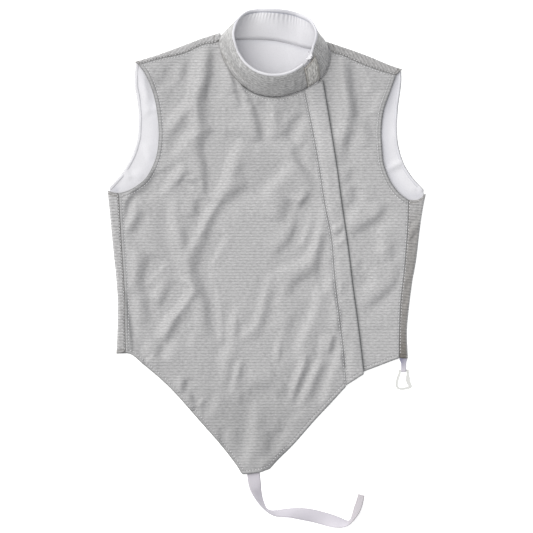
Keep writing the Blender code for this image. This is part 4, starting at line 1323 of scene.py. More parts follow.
@dataclass(frozen=True)
class Turn:
    """The back's outer face where it turns over a fold and runs to its seam with a front.

    `fold` and `seam` are its two lines, in `parts` lengths. `ribs` is the slope of its ribs in
    degrees, `shade_along` how much shade is painted on it from where the lines start to where
    they end, and `sag` how far its edge at their starts hangs down. `neck` says that they end at
    the neck seam and not at a hem. It is sewn at `seam_row` from its seam, `end_row` from its
    hemmed ends and `neck_row` from the neck, and `steps` are how far the last points of a
    section are from the seam.
    """

    fold: Rows
    seam: Rows
    ribs: float
    shade_along: tuple[float, ...]
    parts: int = 84
    sag: float = 0.0
    neck: bool = False
    seam_row: float = 1.1
    end_row: float = 4.6
    neck_row: float = 9.5
    crowding: float = 0.11
    roll_parts: int = 10
    steps: tuple[float, ...] = (6.4, 5.2, 4.3, 3.5, 2.8, 2.1, 1.4, 0.7, 0.0)

    def spaced(self, points: Rows) -> Array:
        """A smooth line through points, in the turn's parts, closer together near both ends."""
        line = smooth(points)
        run = travelled(line)
        even = np.linspace(0.0, 1.0, self.parts + 1)
        return at(line, run, run[-1] * (even - self.crowding * np.sin(2 * math.pi * even)))

    def edges(self) -> tuple[Array, Array, Array]:
        """Its points on the fold and on the seam, and the unit way in from each to its fellow."""
        starts, ends = self.spaced(self.fold), self.spaced(self.seam)
        inward = ends - starts
        return starts, ends, inward / np.linalg.norm(inward, axis=1)[:, None]

    def stitched(self) -> Array:
        """Its row of stitching along the seam."""
        _, ends, inward = self.edges()
        line = ends - inward * (HALF_SEAM + self.seam_row)
        return np.column_stack([line, np.full(len(line), 2 * FOLD_RADIUS - GROOVE_DEPTH)])

    def section(self, reach: Array) -> tuple[Array, Array, Array]:
        """Its section at each of its points, round the fold and across to the seam.

        Args:
            reach: How far the seam is from the fold.

        Returns:
            How far in, how high and how much painted shade each point of each section has.
        """
        whole = np.ones(self.parts + 1)
        painted_shade = np.interp(np.linspace(0, 1, len(whole)), np.linspace(0, 1, len(self.shade_along)), self.shade_along)
        widest = float(reach.max()) - FOLD_RADIUS
        steps = np.concatenate([np.arange(widest, 7.5, -3.0)[1:], self.steps])
        room = reach - HALF_SEAM - FOLD_RADIUS
        out, high, dark = [], [], []
        # Round the fold, less shade is painted where it stands upright.
        for angle in np.linspace(0.0, math.pi, self.roll_parts + 1):
            out.append(FOLD_RADIUS * (1 - math.sin(angle)) * whole)
            high.append(FOLD_RADIUS * (1 - math.cos(angle)) * whole)
            dark.append(painted_shade * (1 - 0.75 * math.sin(angle)))
        for distance in steps[steps < widest - 0.3]:
            gap = distance * np.minimum(1.0, room / widest)
            out.append(reach - HALF_SEAM - gap)
            grooves = 0.9 * hump(gap, EDGE_ROLL) + GROOVE_DEPTH * hump(gap - self.seam_row, GROOVE)
            high.append(2 * FOLD_RADIUS - grooves)
            # Shade painted along the seam's edge and in the groove of its row.
            painted_darkening = np.maximum(0.4 * hump(gap, 2.0), 0.7 * hump(gap - self.seam_row, GROOVE))
            dark.append(np.maximum(painted_shade, painted_darkening))
        return np.array(out).T, np.array(high).T, np.array(dark).T

    def skin(self) -> Skin:
        """Make it, with its ends hemmed, its face rippled and its creases in it."""
        starts, ends, inward = self.edges()
        reach = np.linalg.norm(ends - starts, axis=1)
        out, high, dark = self.section(reach)
        run = travelled(starts)
        from_end = run if self.neck else np.minimum(run, run[-1] - run)
        at_neck = hump(run[-1] - run - self.neck_row, 1.0) if self.neck else 0.0
        hem = 0.9 * hump(from_end, 1.6) + GROOVE_DEPTH * hump(from_end - self.end_row, GROOVE)
        # Shade painted at the hemmed ends and in their row's groove, and along the neck seam.
        painted_darkening = 0.8 * hump(from_end, 1.6) + 0.8 * hump(from_end - self.end_row, 1.3)
        plan = starts[:, None, :] + inward[:, None, :] * out[:, :, None]
        flat = plan.reshape(-1, 2)
        ripple = np.array([noise.noise((x * 0.05, y * 0.05, 3.0)) for x, y in flat]).reshape(out.shape)
        folds = creased(flat, Crease.read(WRAP_CREASES)).reshape(out.shape)
        raised = (0.5 * ripple + folds) * ease((reach[:, None] - out) / 4.0)
        high = high + ease(high / 5.0) * (raised - (hem + 0.5 * at_neck)[:, None])
        dark = np.maximum(dark, (painted_darkening + 0.7 * at_neck)[:, None] * ease(high / 5.0))
        share = np.clip((out - FOLD_RADIUS / 2) / (reach[:, None] - FOLD_RADIUS / 2), 0, 1)
        plan[:, :, 1] -= self.sag * np.sin(math.pi * share**0.85) * hump(run, 9.0)[:, None]
        slope = math.radians(self.ribs)
        across = plan[:, :, 0] * math.cos(slope) + plan[:, :, 1] * math.sin(slope)
        along = plan[:, :, 1] * math.cos(slope) - plan[:, :, 0] * math.sin(slope)
        points = np.concatenate([plan, high[:, :, None]], axis=2)
        return grid(points, np.stack([across, along, dark], axis=2)).facing_up(-1)


@dataclass
class Back:
    """The back with its turns over the sides and shoulders, its lining and its armhole facings.

    `turns` go round it from the left side over the two shoulders to the right side.
    """

    palette: Palette
    collar: Collar
    lining_inset: float = 0.6
    lining_in_fold: float = 3.4
    lining_hem: float = 9.0
    lining_row: float = 2.4
    lining_spacing: float = 4.5
    lining_offsets: tuple[float, ...] = (1.5, 3.0)
    cloth_spacing: float = 9.0
    neck: tuple[float, float] = (0.395, 0.762)
    lining_neck: tuple[float, float] = (0.37, 0.79)
    facing_inset: float = 0.9
    facing_width: float = 4.0
    facing_skin: float = 0.5
    # Shade is painted over the turns: most over the right side, which faces away from the key light, and over
    # the right shoulder; a little over the left side towards its hem and over the left shoulder.
    turns: tuple[Turn, ...] = (
        Turn(SIDE_FOLD_LEFT, SIDE_SEAM_LEFT, ribs=3.0, shade_along=(0.0, 0.04, 0.10, 0.17), sag=1.0),
        Turn(SHOULDER_FOLD_LEFT, SHOULDER_SEAM_LEFT, ribs=47.0, shade_along=(0.055,), parts=96, neck=True),
        Turn(SHOULDER_FOLD_RIGHT, SHOULDER_SEAM_RIGHT, ribs=-58.0, shade_along=(0.255,), parts=96, neck=True),
        Turn(
            SIDE_FOLD_RIGHT, SIDE_SEAM_RIGHT, ribs=-4.0,
            shade_along=(0.24, 0.26, 0.56, 0.63, 0.73, 0.97, 1.12), sag=4.6,
        ),
    )
    # Soft patches of painted shade on the lining in the armholes, and of painted light below 0 inside the
    # collar.
    lining_patches: Rows = (
        (-44, 328, 24, 42, -0.2), (0, 300, 40, 12, -0.08), (198, 205, 18, 80, 0.03),
        (-240, 121, 8, 5, 0.3), (-234, 119, 2, 7, 0.2), (-180, 262, 5, 22, 0.14),
        (-174, 200, 3, 60, 0.1), (226, 110, 22, 5, 0.22), (240, 112, 6, 9, 0.12),
    )
    facing_rows: Rows = (
        # share of its width, height over its underside, painted shade
        (0.0, 0.1, 0.2), (0.08, 0.7, 0.08), (0.2, 0.9, 0.0), (0.5, 0.8, 0.0), (0.8, 0.7, 0.02),
        (0.93, 0.35, 0.12), (1.0, 0.0, 0.34),
    )
    # More shade is painted on the right facing, beside the front's edge.
    right_facing_shade: float = 0.12

    def make(self) -> list[Object]:
        """Build the back's pieces."""
        return [
            self.cloth(),
            self.lining(),
            self.facing("armhole_facing_left", "facing_left", BACK_ARMHOLE_LEFT, 1),
            self.facing("armhole_facing_right", "facing_right", BACK_ARMHOLE_RIGHT, -1),
        ]

    def border(self, edges: Sequence[Array], depth: float, inset: float, hem: float) -> Array:
        """The outline in plan of cloth that lies on the back, between its four turns.

        Args:
            edges: Where it ends at each turn.
            depth: How deep inside the collar's outer face it ends at the neck.
            inset: How far in from the armholes it ends.
            hem: How far up from the hem it ends.

        Returns:
            The outline, clockwise from the left end of the hem.
        """
        side_left, shoulder_left, shoulder_right, side_right = edges
        hem_line = smooth(BACK_HEM)[::-1] + (0.0, hem)
        return apart(np.vstack([
            side_left[::-1], shifted(smooth(BACK_ARMHOLE_LEFT), inset)[::-1][1:-1], shoulder_left,
            self.collar.foot(*self.neck, depth, -SEAM_GAP), shoulder_right[::-1],
            shifted(smooth(BACK_ARMHOLE_RIGHT), -inset)[1:-1], side_right, hem_line[1:-1],
        ]))

    def cloth(self) -> Object:
        """The back: flat on the table, and turned over both sides and both shoulders."""
        skins = [turn.skin() for turn in self.turns]
        edges = [
            skin.points.reshape(turn.parts + 1, -1, 3)[:, 0, :2] for skin, turn in zip(skins, self.turns)
        ]
        points, faces = fill(self.border(edges, self.collar.band, 0.0, 0.0), (), self.cloth_spacing)
        on_table = np.column_stack([points, np.zeros(len(points))])
        flat = Skin(on_table, [face[::-1] for face in faces], on_table)
        obj = joined([flat, *skins]).build("back_cloth", self.palette.turned, BACK_CLOTH)
        weld = obj.modifiers.new("weld", "WELD")
        weld.merge_threshold = 0.02 * MM
        obj.modifiers.move(1, 0)
        return settle(obj, Slot.LAME, "back_panel", flat=(0.545, 0.51), area=0.245, held=Held.FOLDED)

    def lining(self) -> Object:
        """The back's lining, seen at the neck and both armholes."""
        edges = []
        for turn in self.turns:
            starts, _, inward = turn.edges()
            edges.append((starts + inward * self.lining_in_fold)[:-2])
        depth = self.collar.band + 2 * SEAM_GAP + LINING_CLOTH
        outline = self.border(edges, depth, self.lining_inset, self.lining_hem)
        neck = self.collar.foot(*self.lining_neck, depth, 0.0)
        creases = Crease.read(LINING_CREASES)

        def height(points: Array) -> Array:
            """The lining's upper face: flat, with low creases and a soft pucker along the neck seam."""
            away, share, _ = nearest(points, neck)
            pucker = 0.25 * np.sin(share * 190) * hump(away - 4, 4.0)
            return LINING_TOP + soft_floor(creased(points, creases) + pucker + 0.25, 0.0, 0.3) - 0.1

        panel = Panel(
            "back_lining_cloth",
            [
                Trim(outline, roll=0.0, painted_shade=0.0),
                Trim(neck, rows=(self.lining_row,), roll=0.0, painted_shade=0.16),
            ],
            height, LINING_CLOTH, self.lining_spacing, self.lining_offsets, self.lining_patches,
            # Painted shadows of the fronts' armhole edges on the lining.
            shades=(
                (shifted(smooth(FRONT_ARMHOLE_RIGHT), 5.0), 8.0, 0.18),
                (shifted(smooth(FRONT_ARMHOLE_LEFT), -5.0), 6.0, 0.1),
            ),
            around=outline,
        )
        return settle(
            panel.build(self.palette.lining), Slot.LINING, "back_lining",
            flat=(0.49, 0.51), area=0.215, rests_on=("back_cloth",),
        )

    def facing(self, name: str, node: str, armhole: Rows, side: int) -> Object:
        """The strip of facing inside one back armhole.

        Args:
            name: Its name.
            node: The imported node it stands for.
            armhole: The armhole's line.
            side: 1 where the strip is to the left of the line, and -1 where it is to the right.

        Returns:
            The piece.
        """
        line = smooth(armhole)
        run = travelled(line)
        whole = np.ones(len(line))
        more = self.right_facing_shade if side < 0 else 0.0
        points, cut = [], []
        for share, lift, painted_shade in self.facing_rows:
            across = share * self.facing_width
            height = FACING_UNDER + lift + 0.15 * np.sin(run / 5 + across)
            points.append(np.column_stack([shifted(line, side * (self.facing_inset + across)), height]))
            cut.append(np.column_stack([across * whole, run, (painted_shade + more) * whole]))
        skin = grid(np.stack(points, axis=1)[::side, ::-1], np.stack(cut, axis=1)[::side, ::-1])
        obj = skin.build(name, self.palette.lining, self.facing_skin)
        return settle(
            obj, Slot.LINING, node, flat=(0.0105, 0.245), area=0.00098, rests_on=("back_lining_cloth",)
        )


# ---- fronts


@dataclass
class Relief:
    """How high the fronts lie over the table, creases and all.

    They rest on the back and sink to the table within `hem_drop` past its hem. Their seams and
    their neck hold them up within two reaches, and so does the groin strap's sewn end.
    """

    collar: Collar
    rest: float = 5.4
    on_table: float = 3.2
    seam_reach: float = 16.0
    neck_reach: float = 24.0
    neck_span: tuple[float, float] = (-0.19, 0.335)
    hem_drop: float = 120.0
    strap_start: tuple[float, float] = (-20.4, -306.0)
    strap_width: float = 20.0
    strap_cleared: float = 1.5
    neck_puckers: float = 0.45
    seams: list[Array] = field(init=False)
    neck: Array = field(init=False)
    back_hem: Array = field(init=False)
    creases: list[Crease] = field(init=False)

    def __post_init__(self) -> None:
        """Lay out the lines that the height depends on."""
        seams = (SIDE_SEAM_LEFT, SIDE_SEAM_RIGHT, SHOULDER_SEAM_LEFT, SHOULDER_SEAM_RIGHT)
        self.seams = [smooth(line, 8.0) for line in seams]
        self.neck = self.collar.ring(np.linspace(*self.neck_span, 60))[0][:, :2]
        self.back_hem = smooth(BACK_HEM, 20.0)
        self.creases = Crease.read(CREASES)

    def rise(self, points: Array) -> Array:
        """What the creases and the cloth's own unevenness add at points in plan."""
        uneven = np.array([
            0.35 * noise.noise((x * 0.028, y * 0.045, 0.0)) + 0.22 * noise.noise((x * 0.085, y * 0.06, 7.0))
            for x, y in points
        ])
        return creased(points, self.creases) + uneven

    def under(self, points: Array) -> Array:
        """The height of the fronts' underside at points in plan."""
        away = np.min([nearest(points, line)[0] for line in self.seams], axis=0)
        from_neck, share, _ = nearest(points, self.neck)
        seam = hump(away, self.seam_reach)
        neck = hump(from_neck, self.neck_reach) * (1 - seam)
        hem = np.interp(points[:, 0], *self.back_hem.T, left=NO_HEM, right=NO_HEM)
        drop = ease((hem - points[:, 1]) / self.hem_drop) * (1 - seam)
        rise = self.rise(points)
        on_back = soft_floor(self.rest + rise, FACING_UNDER + 0.1, 0.8)
        on_table = soft_floor(self.on_table + rise, 0.05, 0.6)
        height = on_back + (on_table - on_back) * drop
        height += (FRONT_AT_SEAMS + 0.5 * rise - height) * seam
        height += (FRONT_AT_NECK + 0.9 * rise - height) * neck
        puckers = np.sin(150 * share + 3 * np.sin(31 * share)) * hump(from_neck - 6.0, 5.0)
        from_strap = np.hypot(*(points - self.strap_start).T)
        strap = ease(2 - from_strap / self.strap_width)
        return np.maximum(height + self.neck_puckers * puckers, self.strap_cleared * strap)


@dataclass
class Fronts:
    """The two fronts and the flap over the zip.

    `flap_lift` is how far the flap stands off the fronts at fractions of its width.
    """

    palette: Palette
    collar: Collar
    relief: Relief
    flap_parts: int = 160
    left_front_starts: float = 0.8
    armhole_row: float = 6.9
    shoulder_row: float = 2.6
    flap_lift: Rows = ((0.0, 0.0), (0.16, 0.9), (0.34, 2.0), (0.5, 2.1), (1.0, 1.9))
    # Soft patches painted darker, or lighter below 0, as x, y, half width, half height and how dark.
    right_patches: Rows = ((-20, -250, 135, 76, 0.24), (12, -300, 26, 26, 0.14), (-165, -165, 40, 20, 0.06))
    # On the left front, the narrow patches along the flap's open edge are the flap's painted shadow.
    left_patches: Rows = (
        (135, 265, 40, 50, -0.06), (160, 60, 50, 90, -0.03), (128, 36, 4, 14, 0.3),
        (136, -30, 4, 18, 0.35), (143, -82, 4, 16, 0.35), (153, -158, 5, 10, 0.3),
    )
    flap_patches: Rows = ((82, 225, 30, 60, -0.21), (106, 85, 14, 50, -0.08), (126, -100, 14, 60, 0.17))
    # The painted shade beside the left side seam, where the front's edge rolls under near the hem.
    wedge: Rows = ((-220.5, -40), (-217, -75), (-213.5, -100), (-210.5, -134))
    wedge_core: Rows = ((-219.5, -74), (-217.5, -100), (-216, -133))
    panels: list[Panel] = field(default_factory=list)

    def flap_line(self, across: float) -> Array:
        """The line down the flap at a fraction of its width from the sewn edge."""
        sewn, free = (evenly(smooth(line), self.flap_parts) for line in (FLAP_SEWN_EDGE, FLAP_OPEN_EDGE))
        return sewn + (free - sewn) * across

    def upper(self, points: Array) -> Array:
        """The height of the fronts' upper face."""
        return self.relief.under(points) + FRONT_CLOTH

    def upper_of_flap(self, points: Array) -> Array:
        """The height of the flap's upper face, which stands on the zip and the left front's edge."""
        from_sewn = nearest(points, self.flap_line(0.0))[0]
        from_free = nearest(points, self.flap_line(1.0))[0]
        across = from_sewn / np.maximum(from_sewn + from_free, 1e-6)
        places, lifts = zip(*self.flap_lift)
        return self.relief.under(points) + np.interp(across, places, lifts) + FRONT_CLOTH

    def hem(self, line: Array) -> Trim:
        """A hem's trim."""
        return Trim(line, rows=(5.4,), roll=0.7, painted_shade=0.6, row_shade=0.3, sunk=0.4)

    def turned_in(self, armhole: Rows, side: int) -> tuple[Shade, Shade]:
        """The painted shade of an armhole's turned edge, and the dark line painted where it ends."""
        line = smooth(armhole)
        return (shifted(line, side * 2.8), 2.4, 0.15), (shifted(line, side * 5.3), 0.8, 0.62)

    def right_front(self) -> Panel:
        """The wearer's right front, with the groin point."""
        neck = self.collar.foot(0.0, 0.2, 0.0, SEAM_GAP)
        neck_side = self.collar.foot(0.2, 0.335, 0.0, SEAM_GAP)
        side_seam = shifted(smooth(SIDE_SEAM_LEFT), HALF_SEAM)
        beside_flap = shifted(self.flap_line(0.0), -SEAM_GAP)[::-1]
        return Panel(
            "vest_front_right",
            [
                Trim(neck, rows=(4.2,), roll=0.5, painted_shade=0.7),
                Trim(neck_side, roll=0.0, painted_shade=0.12),
                Trim(shifted(smooth(SHOULDER_SEAM_LEFT)[::-1], HALF_SEAM), rows=(self.shoulder_row,)),
                Trim(smooth(FRONT_ARMHOLE_LEFT)[1:-1], (self.armhole_row,), roll=0.9, painted_shade=0.8, row_shade=0.1),
                Trim(side_seam, rows=(5.6,), painted_shade=0.6),
                self.hem(smooth(HEM_LEFT)[1:-1]),
                Trim(beside_flap, rows=(1.7,), roll=0.1, painted_shade=0.3, row_shade=0.3),
            ],
            self.upper, FRONT_CLOTH, patches=self.right_patches,
            # Painted shade: the wedge beside the side seam, a dark line beside that seam, and the armhole's
            # turned edge.
            shades=(
                (smooth(self.wedge), 2.4, 0.62), (smooth(self.wedge_core), 2.4, 0.45),
                (shifted(smooth(SIDE_SEAM_LEFT), 3.6), 0.7, 0.4), *self.turned_in(FRONT_ARMHOLE_LEFT, 1),
            ),
        )

    def left_front(self) -> Panel:
        """The wearer's left front, from under the flap to the side seam."""
        armhole = smooth(FRONT_ARMHOLE_RIGHT)[::-1][1:-1]
        side_seam = shifted(smooth(SIDE_SEAM_RIGHT)[::-1], HALF_SEAM)
        return Panel(
            "vest_front_left",
            [
                Trim(self.flap_line(self.left_front_starts)[1:], roll=0.0, painted_shade=0.0),
                self.hem(smooth(HEM_OF_LEFT_FRONT)[1:-1]),
                Trim(side_seam, rows=(2.4,), painted_shade=0.5, row_shade=0.1),
                Trim(armhole, rows=(self.armhole_row,), roll=0.9, painted_shade=0.7, row_shade=0.1),
                Trim(shifted(smooth(SHOULDER_SEAM_RIGHT), HALF_SEAM), rows=(self.shoulder_row,)),
                Trim(self.collar.foot(0.81, 0.992, 0.0, SEAM_GAP), roll=0.5, painted_shade=0.6),
            ],
            self.upper, FRONT_CLOTH, patches=self.left_patches,
            # Painted shadow of the flap's open edge, and painted shade on the armhole's turned edge.
            shades=((self.flap_line(1.02), 1.9, 1.05), *self.turned_in(FRONT_ARMHOLE_RIGHT, -1)),
        )

    def flap(self) -> Panel:
        """The flap, sewn to the right front along one edge."""
        sewn, free = self.flap_line(0.0), self.flap_line(1.0)
        return Panel(
            "zip_flap",
            [
                Trim(sewn, rows=(1.9,), roll=0.15, painted_shade=0.3, row_shade=0.3),
                self.hem(np.linspace(sewn[-1], free[-1], 12)[1:-1]),
                Trim(free[::-1], roll=0.7, painted_shade=0.2),
                Trim(np.linspace(free[0], sewn[0], 14)[1:-1], roll=0.5, painted_shade=0.5),
            ],
            self.upper_of_flap, FRONT_CLOTH, patches=self.flap_patches,
        )

    def make(self) -> list[Object]:
        """Build the fronts and the flap."""
        self.panels = [self.right_front(), self.left_front(), self.flap()]
        right, left, flap = (panel.build(self.palette.lame) for panel in self.panels)
        on_lining = ("back_lining_cloth",)
        return [
            settle(right, Slot.LAME, "front_right", flat=(0.36, 0.68), area=0.172, rests_on=on_lining),
            settle(left, Slot.LAME, "front_left", flat=(0.125, 0.50), area=0.044, rests_on=on_lining),
            settle(
                flap, Slot.LAME, "placket", flat=(0.032, 0.475), area=0.0133, rests_on=("vest_front_left",)
            ),
        ]


# ---- small parts


@dataclass
class Zip:
    """The closed zip: two tapes and a chain of teeth under the flap and up the collar.

    `middle`, `tape_reach` and `tooth_reach` are fractions of the flap's width, spans of the walk
    round the collar, and `collar_rise` of its height.
    """

    palette: Palette
    collar: Collar
    fronts: Fronts
    middle: float = 0.44
    tape_reach: tuple[float, float] = (0.1, 0.77)
    tape_cut: float = 30.0
    tape_lift: float = 0.55
    tape_lift_at_teeth: float = 0.35
    tape_cloth: float = 0.4
    tooth_lift: float = 1.0
    tooth_reach: float = 0.05
    tooth_pitch: float = 3.2
    parts: int = 240
    collar_span: tuple[float, float] = (-0.017, -0.061)
    collar_rise: tuple[float, float] = (0.06, 0.95)
    collar_depth: float = 2.2
    end_span: tuple[float, float] = (-0.046, -0.100)
    end_reach: float = 6.0
    end_cut: tuple[float, float] = (24.0, 11.0)
    stops: Rows = ((-0.088, 3.0), (-0.070, -6.6))
    stop_rise: float = 1.055
    bar: Stitching = Stitching("zip_teeth", gauge=0.6, sides=6)

    def strip(self, across: float, lift: float) -> Array:
        """Lay out a line up the zip, from the hem to the collar's rim.

        Args:
            across: The fraction of the flap's width at which it runs.
            lift: How far over the tape's underside it is.

        Returns:
            The line, in `parts` equal lengths.
        """
        line = self.fronts.flap_line(across)[4:-4][::-1]
        low = np.column_stack([line, self.fronts.relief.under(line) + lift])
        first, last = self.tape_reach
        start, end = self.collar_span
        share = start + (end - start) * (across - first) / (last - first)
        high = self.collar.point(share, np.linspace(*self.collar_rise, 14), self.collar_depth - lift)
        return evenly(np.vstack([low, high]), self.parts)

    def make(self) -> list[Object]:
        """Build the tapes, the teeth and the two stops."""
        return [self.tapes(), self.teeth(), self.top_stops(), self.folded_end()]

    def tapes(self) -> Object:
        """The two tapes, which dip a little under the teeth."""
        places = np.linspace(*self.tape_reach, 9)
        lifts = np.where(np.abs(places - self.middle) > 0.06, self.tape_lift, self.tape_lift_at_teeth)
        lines = [self.strip(place, lift) for place, lift in zip(places, lifts)]
        across, run = np.meshgrid(places * self.tape_cut, travelled(lines[0]))
        cut = np.stack([across, run, np.zeros_like(run)], axis=2)
        skin = grid(np.stack(lines, axis=1)[::-1], cut[::-1])
        return settle(
            skin.build("zip_tapes", self.palette.tape, self.tape_cloth), Slot.ZIP, "zip",
            flat=(0.022, 0.53), area=0.0092, rests_on=("back_lining_cloth",),
        )

    def teeth(self) -> Object:
        """The teeth, to one side and the other in turn."""
        chain = self.strip(self.middle, self.tooth_lift)
        reaches = (-self.tooth_reach, self.tooth_reach)
        sides = [self.strip(self.middle + reach, self.tooth_lift) for reach in reaches]
        run = travelled(chain)
        spots = np.arange(2.0, run[-1] - 1.0, self.tooth_pitch / 2)
        roots = at(chain, run, spots)
        made = []
        for number, tips in enumerate(zip(*(at(side, run, spots) for side in sides))):
            out = tips[number % 2] - roots[number]
            root = roots[number] - 0.4 * out
            made.append(self.bar.thread(root + 1.4 * out * np.array([-0.1, 0.2, 0.8, 1.0])[:, None]))
        return settle(joined(made).build("zip_teeth", self.palette.teeth), Slot.ZIP)

    def top_stops(self) -> Object:
        """The two stops over the collar's rim."""
        made = []
        for share, depth in self.stops:
            depths = depth + np.array([-0.9, -0.4, 0.4, 0.9])
            made.append(self.bar.thread(self.collar.point(share, self.stop_rise, depths)))
        return settle(joined(made).build("zip_top_stops", self.palette.stops), Slot.ZIP)

    def folded_end(self) -> Object:
        """The tapes' ends, folded in over the collar's rim above the tab."""
        around, over = np.meshgrid(np.linspace(0, 1, 20), np.linspace(0, 1, 10), indexing="ij")
        start, end = self.end_span
        wide, long = self.end_cut
        arch = np.sin(math.pi * np.clip(around, 0.02, 0.98)) ** 0.7
        depth = 2.6 - over * (3.2 + self.end_reach * arch)
        up = 0.985 + 0.05 * np.sin(math.pi * np.clip(0.15 + over, 0, 1) * 0.8) + 0.006 * np.sin(around * 17)
        points = self.collar.point(start + (end - start) * around, up, depth)
        # Shade painted along its two folded edges.
        painted_shade = 0.25 * hump(np.minimum(over, 1 - over), 0.12)
        skin = grid(points, np.stack([around * wide, over * long, painted_shade], axis=2))
        skin.facing_up(len(skin.faces) // 2)
        return settle(
            skin.build("zip_tape_end", self.palette.tape, self.tape_cloth), Slot.ZIP,
            flat=(0.022, 0.0105), area=0.00012, held=Held.FOLDED, rests_on=("collar_lining_bound",),
        )


@dataclass
class GroinStrap:
    """The flat elastic between the legs, loose on the table, on its edge at two bends."""

    palette: Palette
    width: float = 20.0
    cloth: float = 1.2
    columns: int = 13
    rows: Rows = (
        # x, y of the middle, degrees of tilt
        (-20.4, -306, 0), (-20.4, -325, 0), (-19.0, -338, 8), (-15.9, -352, 38), (-11.2, -364, 58),
        (-6.4, -373, 71), (-1.0, -380.2, 80), (6.0, -384.6, 76), (16.0, -386.6, 62), (37.0, -386.0, 46),
        (55.0, -387.6, 24), (73.0, -390.6, 7), (90.0, -395.0, 5), (104.0, -399.0, 20),
        (117.0, -401.8, 44), (126.0, -402.0, 66), (132.5, -398.4, 78), (137.6, -390.0, 68),
        (142.4, -379.0, 58), (146.0, -368.0, 60), (148.6, -357.5, 62),
    )

    def painted_darkening(self, line: Array) -> Array:
        """How much shade is painted along the strap: a little where it starts, and more at its free end."""
        return 0.15 * hump(line[:, 1] + 330, 30.0) + 0.46 * ease((line[:, 0] - 122) / 14)

    def make(self) -> list[Object]:
        """Build the strap."""
        line = smooth(self.rows, 2.2)
        along = headings(line)
        angle = np.radians(np.maximum(0.0, line[:, 2]))
        raised = np.column_stack([along[:, 1] * np.cos(angle), -along[:, 0] * np.cos(angle), np.sin(angle)])
        thick = np.cross(raised, np.column_stack([along, np.zeros(len(along))]))
        half = self.width / 2
        rest = np.abs(raised[:, 2]) * half + np.abs(thick[:, 2]) * self.cloth / 2
        middle = np.column_stack([line[:, :2], rest])
        across = np.linspace(-1.0, 1.0, self.columns)
        points = middle[:, None, :] + raised[:, None, :] * (across * half)[None, :, None]
        selvedge = 0.12 * hump(1 - np.abs(across), 0.12)
        place, run = np.meshgrid(across * half, travelled(line[:, :2]))
        cut = np.stack([place, run, selvedge + self.painted_darkening(line)[:, None]], axis=2)
        obj = grid(points, cut).build("groin_elastic", self.palette.elastic, self.cloth, 0.0)
        return [settle(obj, Slot.ELASTIC, "groin_strap", flat=(0.020, 0.275))]


@dataclass
class SideLoop:
    """The elastic loop at the bottom of the side seam, round the hook's bar.

    `axis` and the two rows are y and z, `at_hem` and `at_bar` its two edges' x. `narrows` is the y
    from which it narrows to the bar, and over what length.
    """

    palette: Palette
    axis: tuple[float, float] = (-162.6, 2.65)
    bar: float = 2.6
    cloth: float = 1.0
    cut_width: float = 9.0
    at_hem: tuple[float, float] = (208.6, 220.2)
    at_bar: tuple[float, float] = (210.8, 218.5)
    narrows: tuple[float, float] = (-144.0, 9.0)
    lower: Rows = ((-131.0, 3.35), (-138.5, 3.35), (-142.5, 2.7), (-147.0, 1.3), (-152.0, 0.7))
    upper: Rows = ((-152.0, 4.7), (-131.0, 4.7))

    def path(self) -> Array:
        """Its way out from the seam, round the bar and back over itself, in y and z."""
        turn = self.bar / 2 + SEAM_GAP + self.cloth / 2
        angles = np.linspace(-math.pi / 2, -3 * math.pi / 2, 21)
        bend = np.column_stack([self.axis[0] + turn * np.cos(angles), self.axis[1] + turn * np.sin(angles)])
        return apart(np.vstack([smooth(self.lower, 1.5), bend, smooth(self.upper, 2.0)]))

    def make(self) -> list[Object]:
        """Build the loop, with shade painted where it runs under the hem."""
        path = self.path()
        start, length = self.narrows
        narrow = ease((start - path[:, :1]) / length)
        left, right = (hem + (bar - hem) * narrow for hem, bar in zip(self.at_hem, self.at_bar))
        share, run = np.meshgrid(np.linspace(0.0, 1.0, 8), travelled(path))
        y, z = (np.broadcast_to(column[:, None], share.shape) for column in path.T)
        points = np.stack([left + (right - left) * share, y, z], axis=2)
        shade_under_hem = (1.1 - 0.6 * share) * ease((y + 164.0) / 19.0)
        cut = np.stack([share * self.cut_width, run, shade_under_hem], axis=2)
        obj = grid(points, cut).build("hook_loop", self.palette.loop, self.cloth, 0.0)
        return [settle(obj, Slot.ELASTIC, "side_loop", flat=(0.0118, 0.0715), area=0.00081, held=Held.FOLDED)]


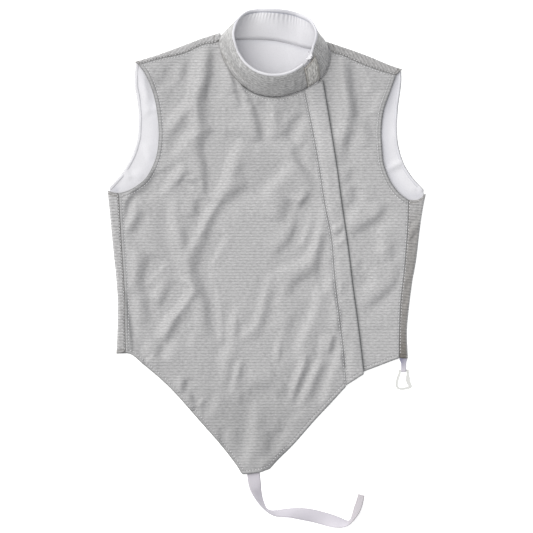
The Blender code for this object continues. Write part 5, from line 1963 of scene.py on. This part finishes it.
@dataclass
class Studio:
    """The pale table, the soft light from the upper left and the camera straight above.

    Angles are in degrees, and the frame's width is what the camera sees of the table.
    """

    frame_width: float = 835.2
    lens: float = 1000.0
    sensor: float = 36.0
    key_strength: float = 3.25
    key_height: float = 50.0
    key_bearing: float = 147.0
    key_softness: float = 85.0
    sky_strength: float = 0.50
    table_glow: float = 0.5
    table_half: float = 4000.0
    table_drop: float = 0.2

    def make(self) -> None:
        """Build the table, the lights and the camera."""
        scene = bpy.context.scene
        scene.view_settings.view_transform = "Standard"
        self.table(scene)
        self.sky(scene)
        self.key(scene)
        self.camera(scene)

    def sky(self, scene: Scene) -> None:
        """An even pale sky."""
        world = bpy.data.worlds.new("sky")
        world.use_nodes = True
        background = world.node_tree.nodes["Background"]
        background.inputs["Color"].default_value = linear("#fbfcff")
        background.inputs["Strength"].default_value = self.sky_strength
        scene.world = world

    def key(self, scene: Scene) -> None:
        """The key light, as wide as a large softbox."""
        key = bpy.data.lights.new("key", "SUN")
        key.energy = self.key_strength
        key.angle = math.radians(self.key_softness)
        key.color = linear("#fffdfa")[:3]
        lamp = bpy.data.objects.new("key", key)
        height, bearing = math.radians(self.key_height), math.radians(self.key_bearing)
        level = math.cos(height)
        towards = Vector((math.cos(bearing) * level, math.sin(bearing) * level, math.sin(height)))
        lamp.rotation_euler = towards.to_track_quat("Z", "Y").to_euler()
        lamp.location = towards * 2
        scene.collection.objects.link(lamp)

    def camera(self, scene: Scene) -> None:
        """The camera, straight above and far off, so that nothing is foreshortened."""
        camera = bpy.data.cameras.new("overhead")
        camera.lens = self.lens
        camera.sensor_width = self.sensor
        distance = self.frame_width * MM * self.lens / self.sensor
        camera.clip_end = 2 * distance
        holder = bpy.data.objects.new("overhead", camera)
        holder.location = (0.0, 0.0, distance)
        scene.collection.objects.link(holder)
        scene.camera = holder

    def table(self, scene: Scene) -> None:
        """A wide pale light table under the vest, whose glow all but clears the shadows on it."""
        half = self.table_half * MM
        corners = [(-half, -half, 0), (half, -half, 0), (half, half, 0), (-half, half, 0)]
        mesh = bpy.data.meshes.new("table_top")
        mesh.from_pydata(corners, [], [(0, 1, 2, 3)])
        finish = Finish("opal_acrylic", "#f8f8f8", roughness=0.9)
        material, tree, shader = finish.start()
        shader.inputs["Emission Color"].default_value = linear("#fcfdfc")
        shader.inputs["Emission Strength"].default_value = self.table_glow
        place = add_node(tree, "ShaderNodeTexCoord").outputs["Object"]
        marks = add_node(tree, "ShaderNodeTexNoise", {"Vector": place, "Scale": 30.0}).outputs["Fac"]
        finish.tinted(tree, shader, finish.sums(tree, (1.0, 0.99), (marks, 0.02)))
        mesh.materials.append(material)
        top = bpy.data.objects.new("table_top", mesh)
        top.location.z = -self.table_drop * MM
        scene.collection.objects.link(top)


def main() -> None:
    """Load the frame and build every piece on it."""
    logging.basicConfig(level=logging.INFO, format="%(name)s: %(message)s")
    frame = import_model()
    Studio().make()
    palette = Palette.mix()
    collar = Collar(palette)
    fronts = Fronts(palette, collar, Relief(collar))
    back = Back(palette, collar)
    pieces = [*back.make(), *fronts.make(), *collar.make()]
    pieces += Zip(palette, collar, fronts).make()
    pieces += GroinStrap(palette).make()
    pieces += SideLoop(palette).make()
    lines = [line for panel in fronts.panels for line in panel.stitched()]
    lines += [turn.stitched() for turn in back.turns]
    pieces.append(settle(Stitching("seam_stitching").build(lines, palette.thread), Slot.LAME))
    hook = frame["nodes"]["side_hook"]
    hook.data.materials.clear()
    hook.data.materials.append(palette.hook)
    LOG.info("%d pieces made", len(pieces) + 1)


if __name__ == "__main__":
    main()
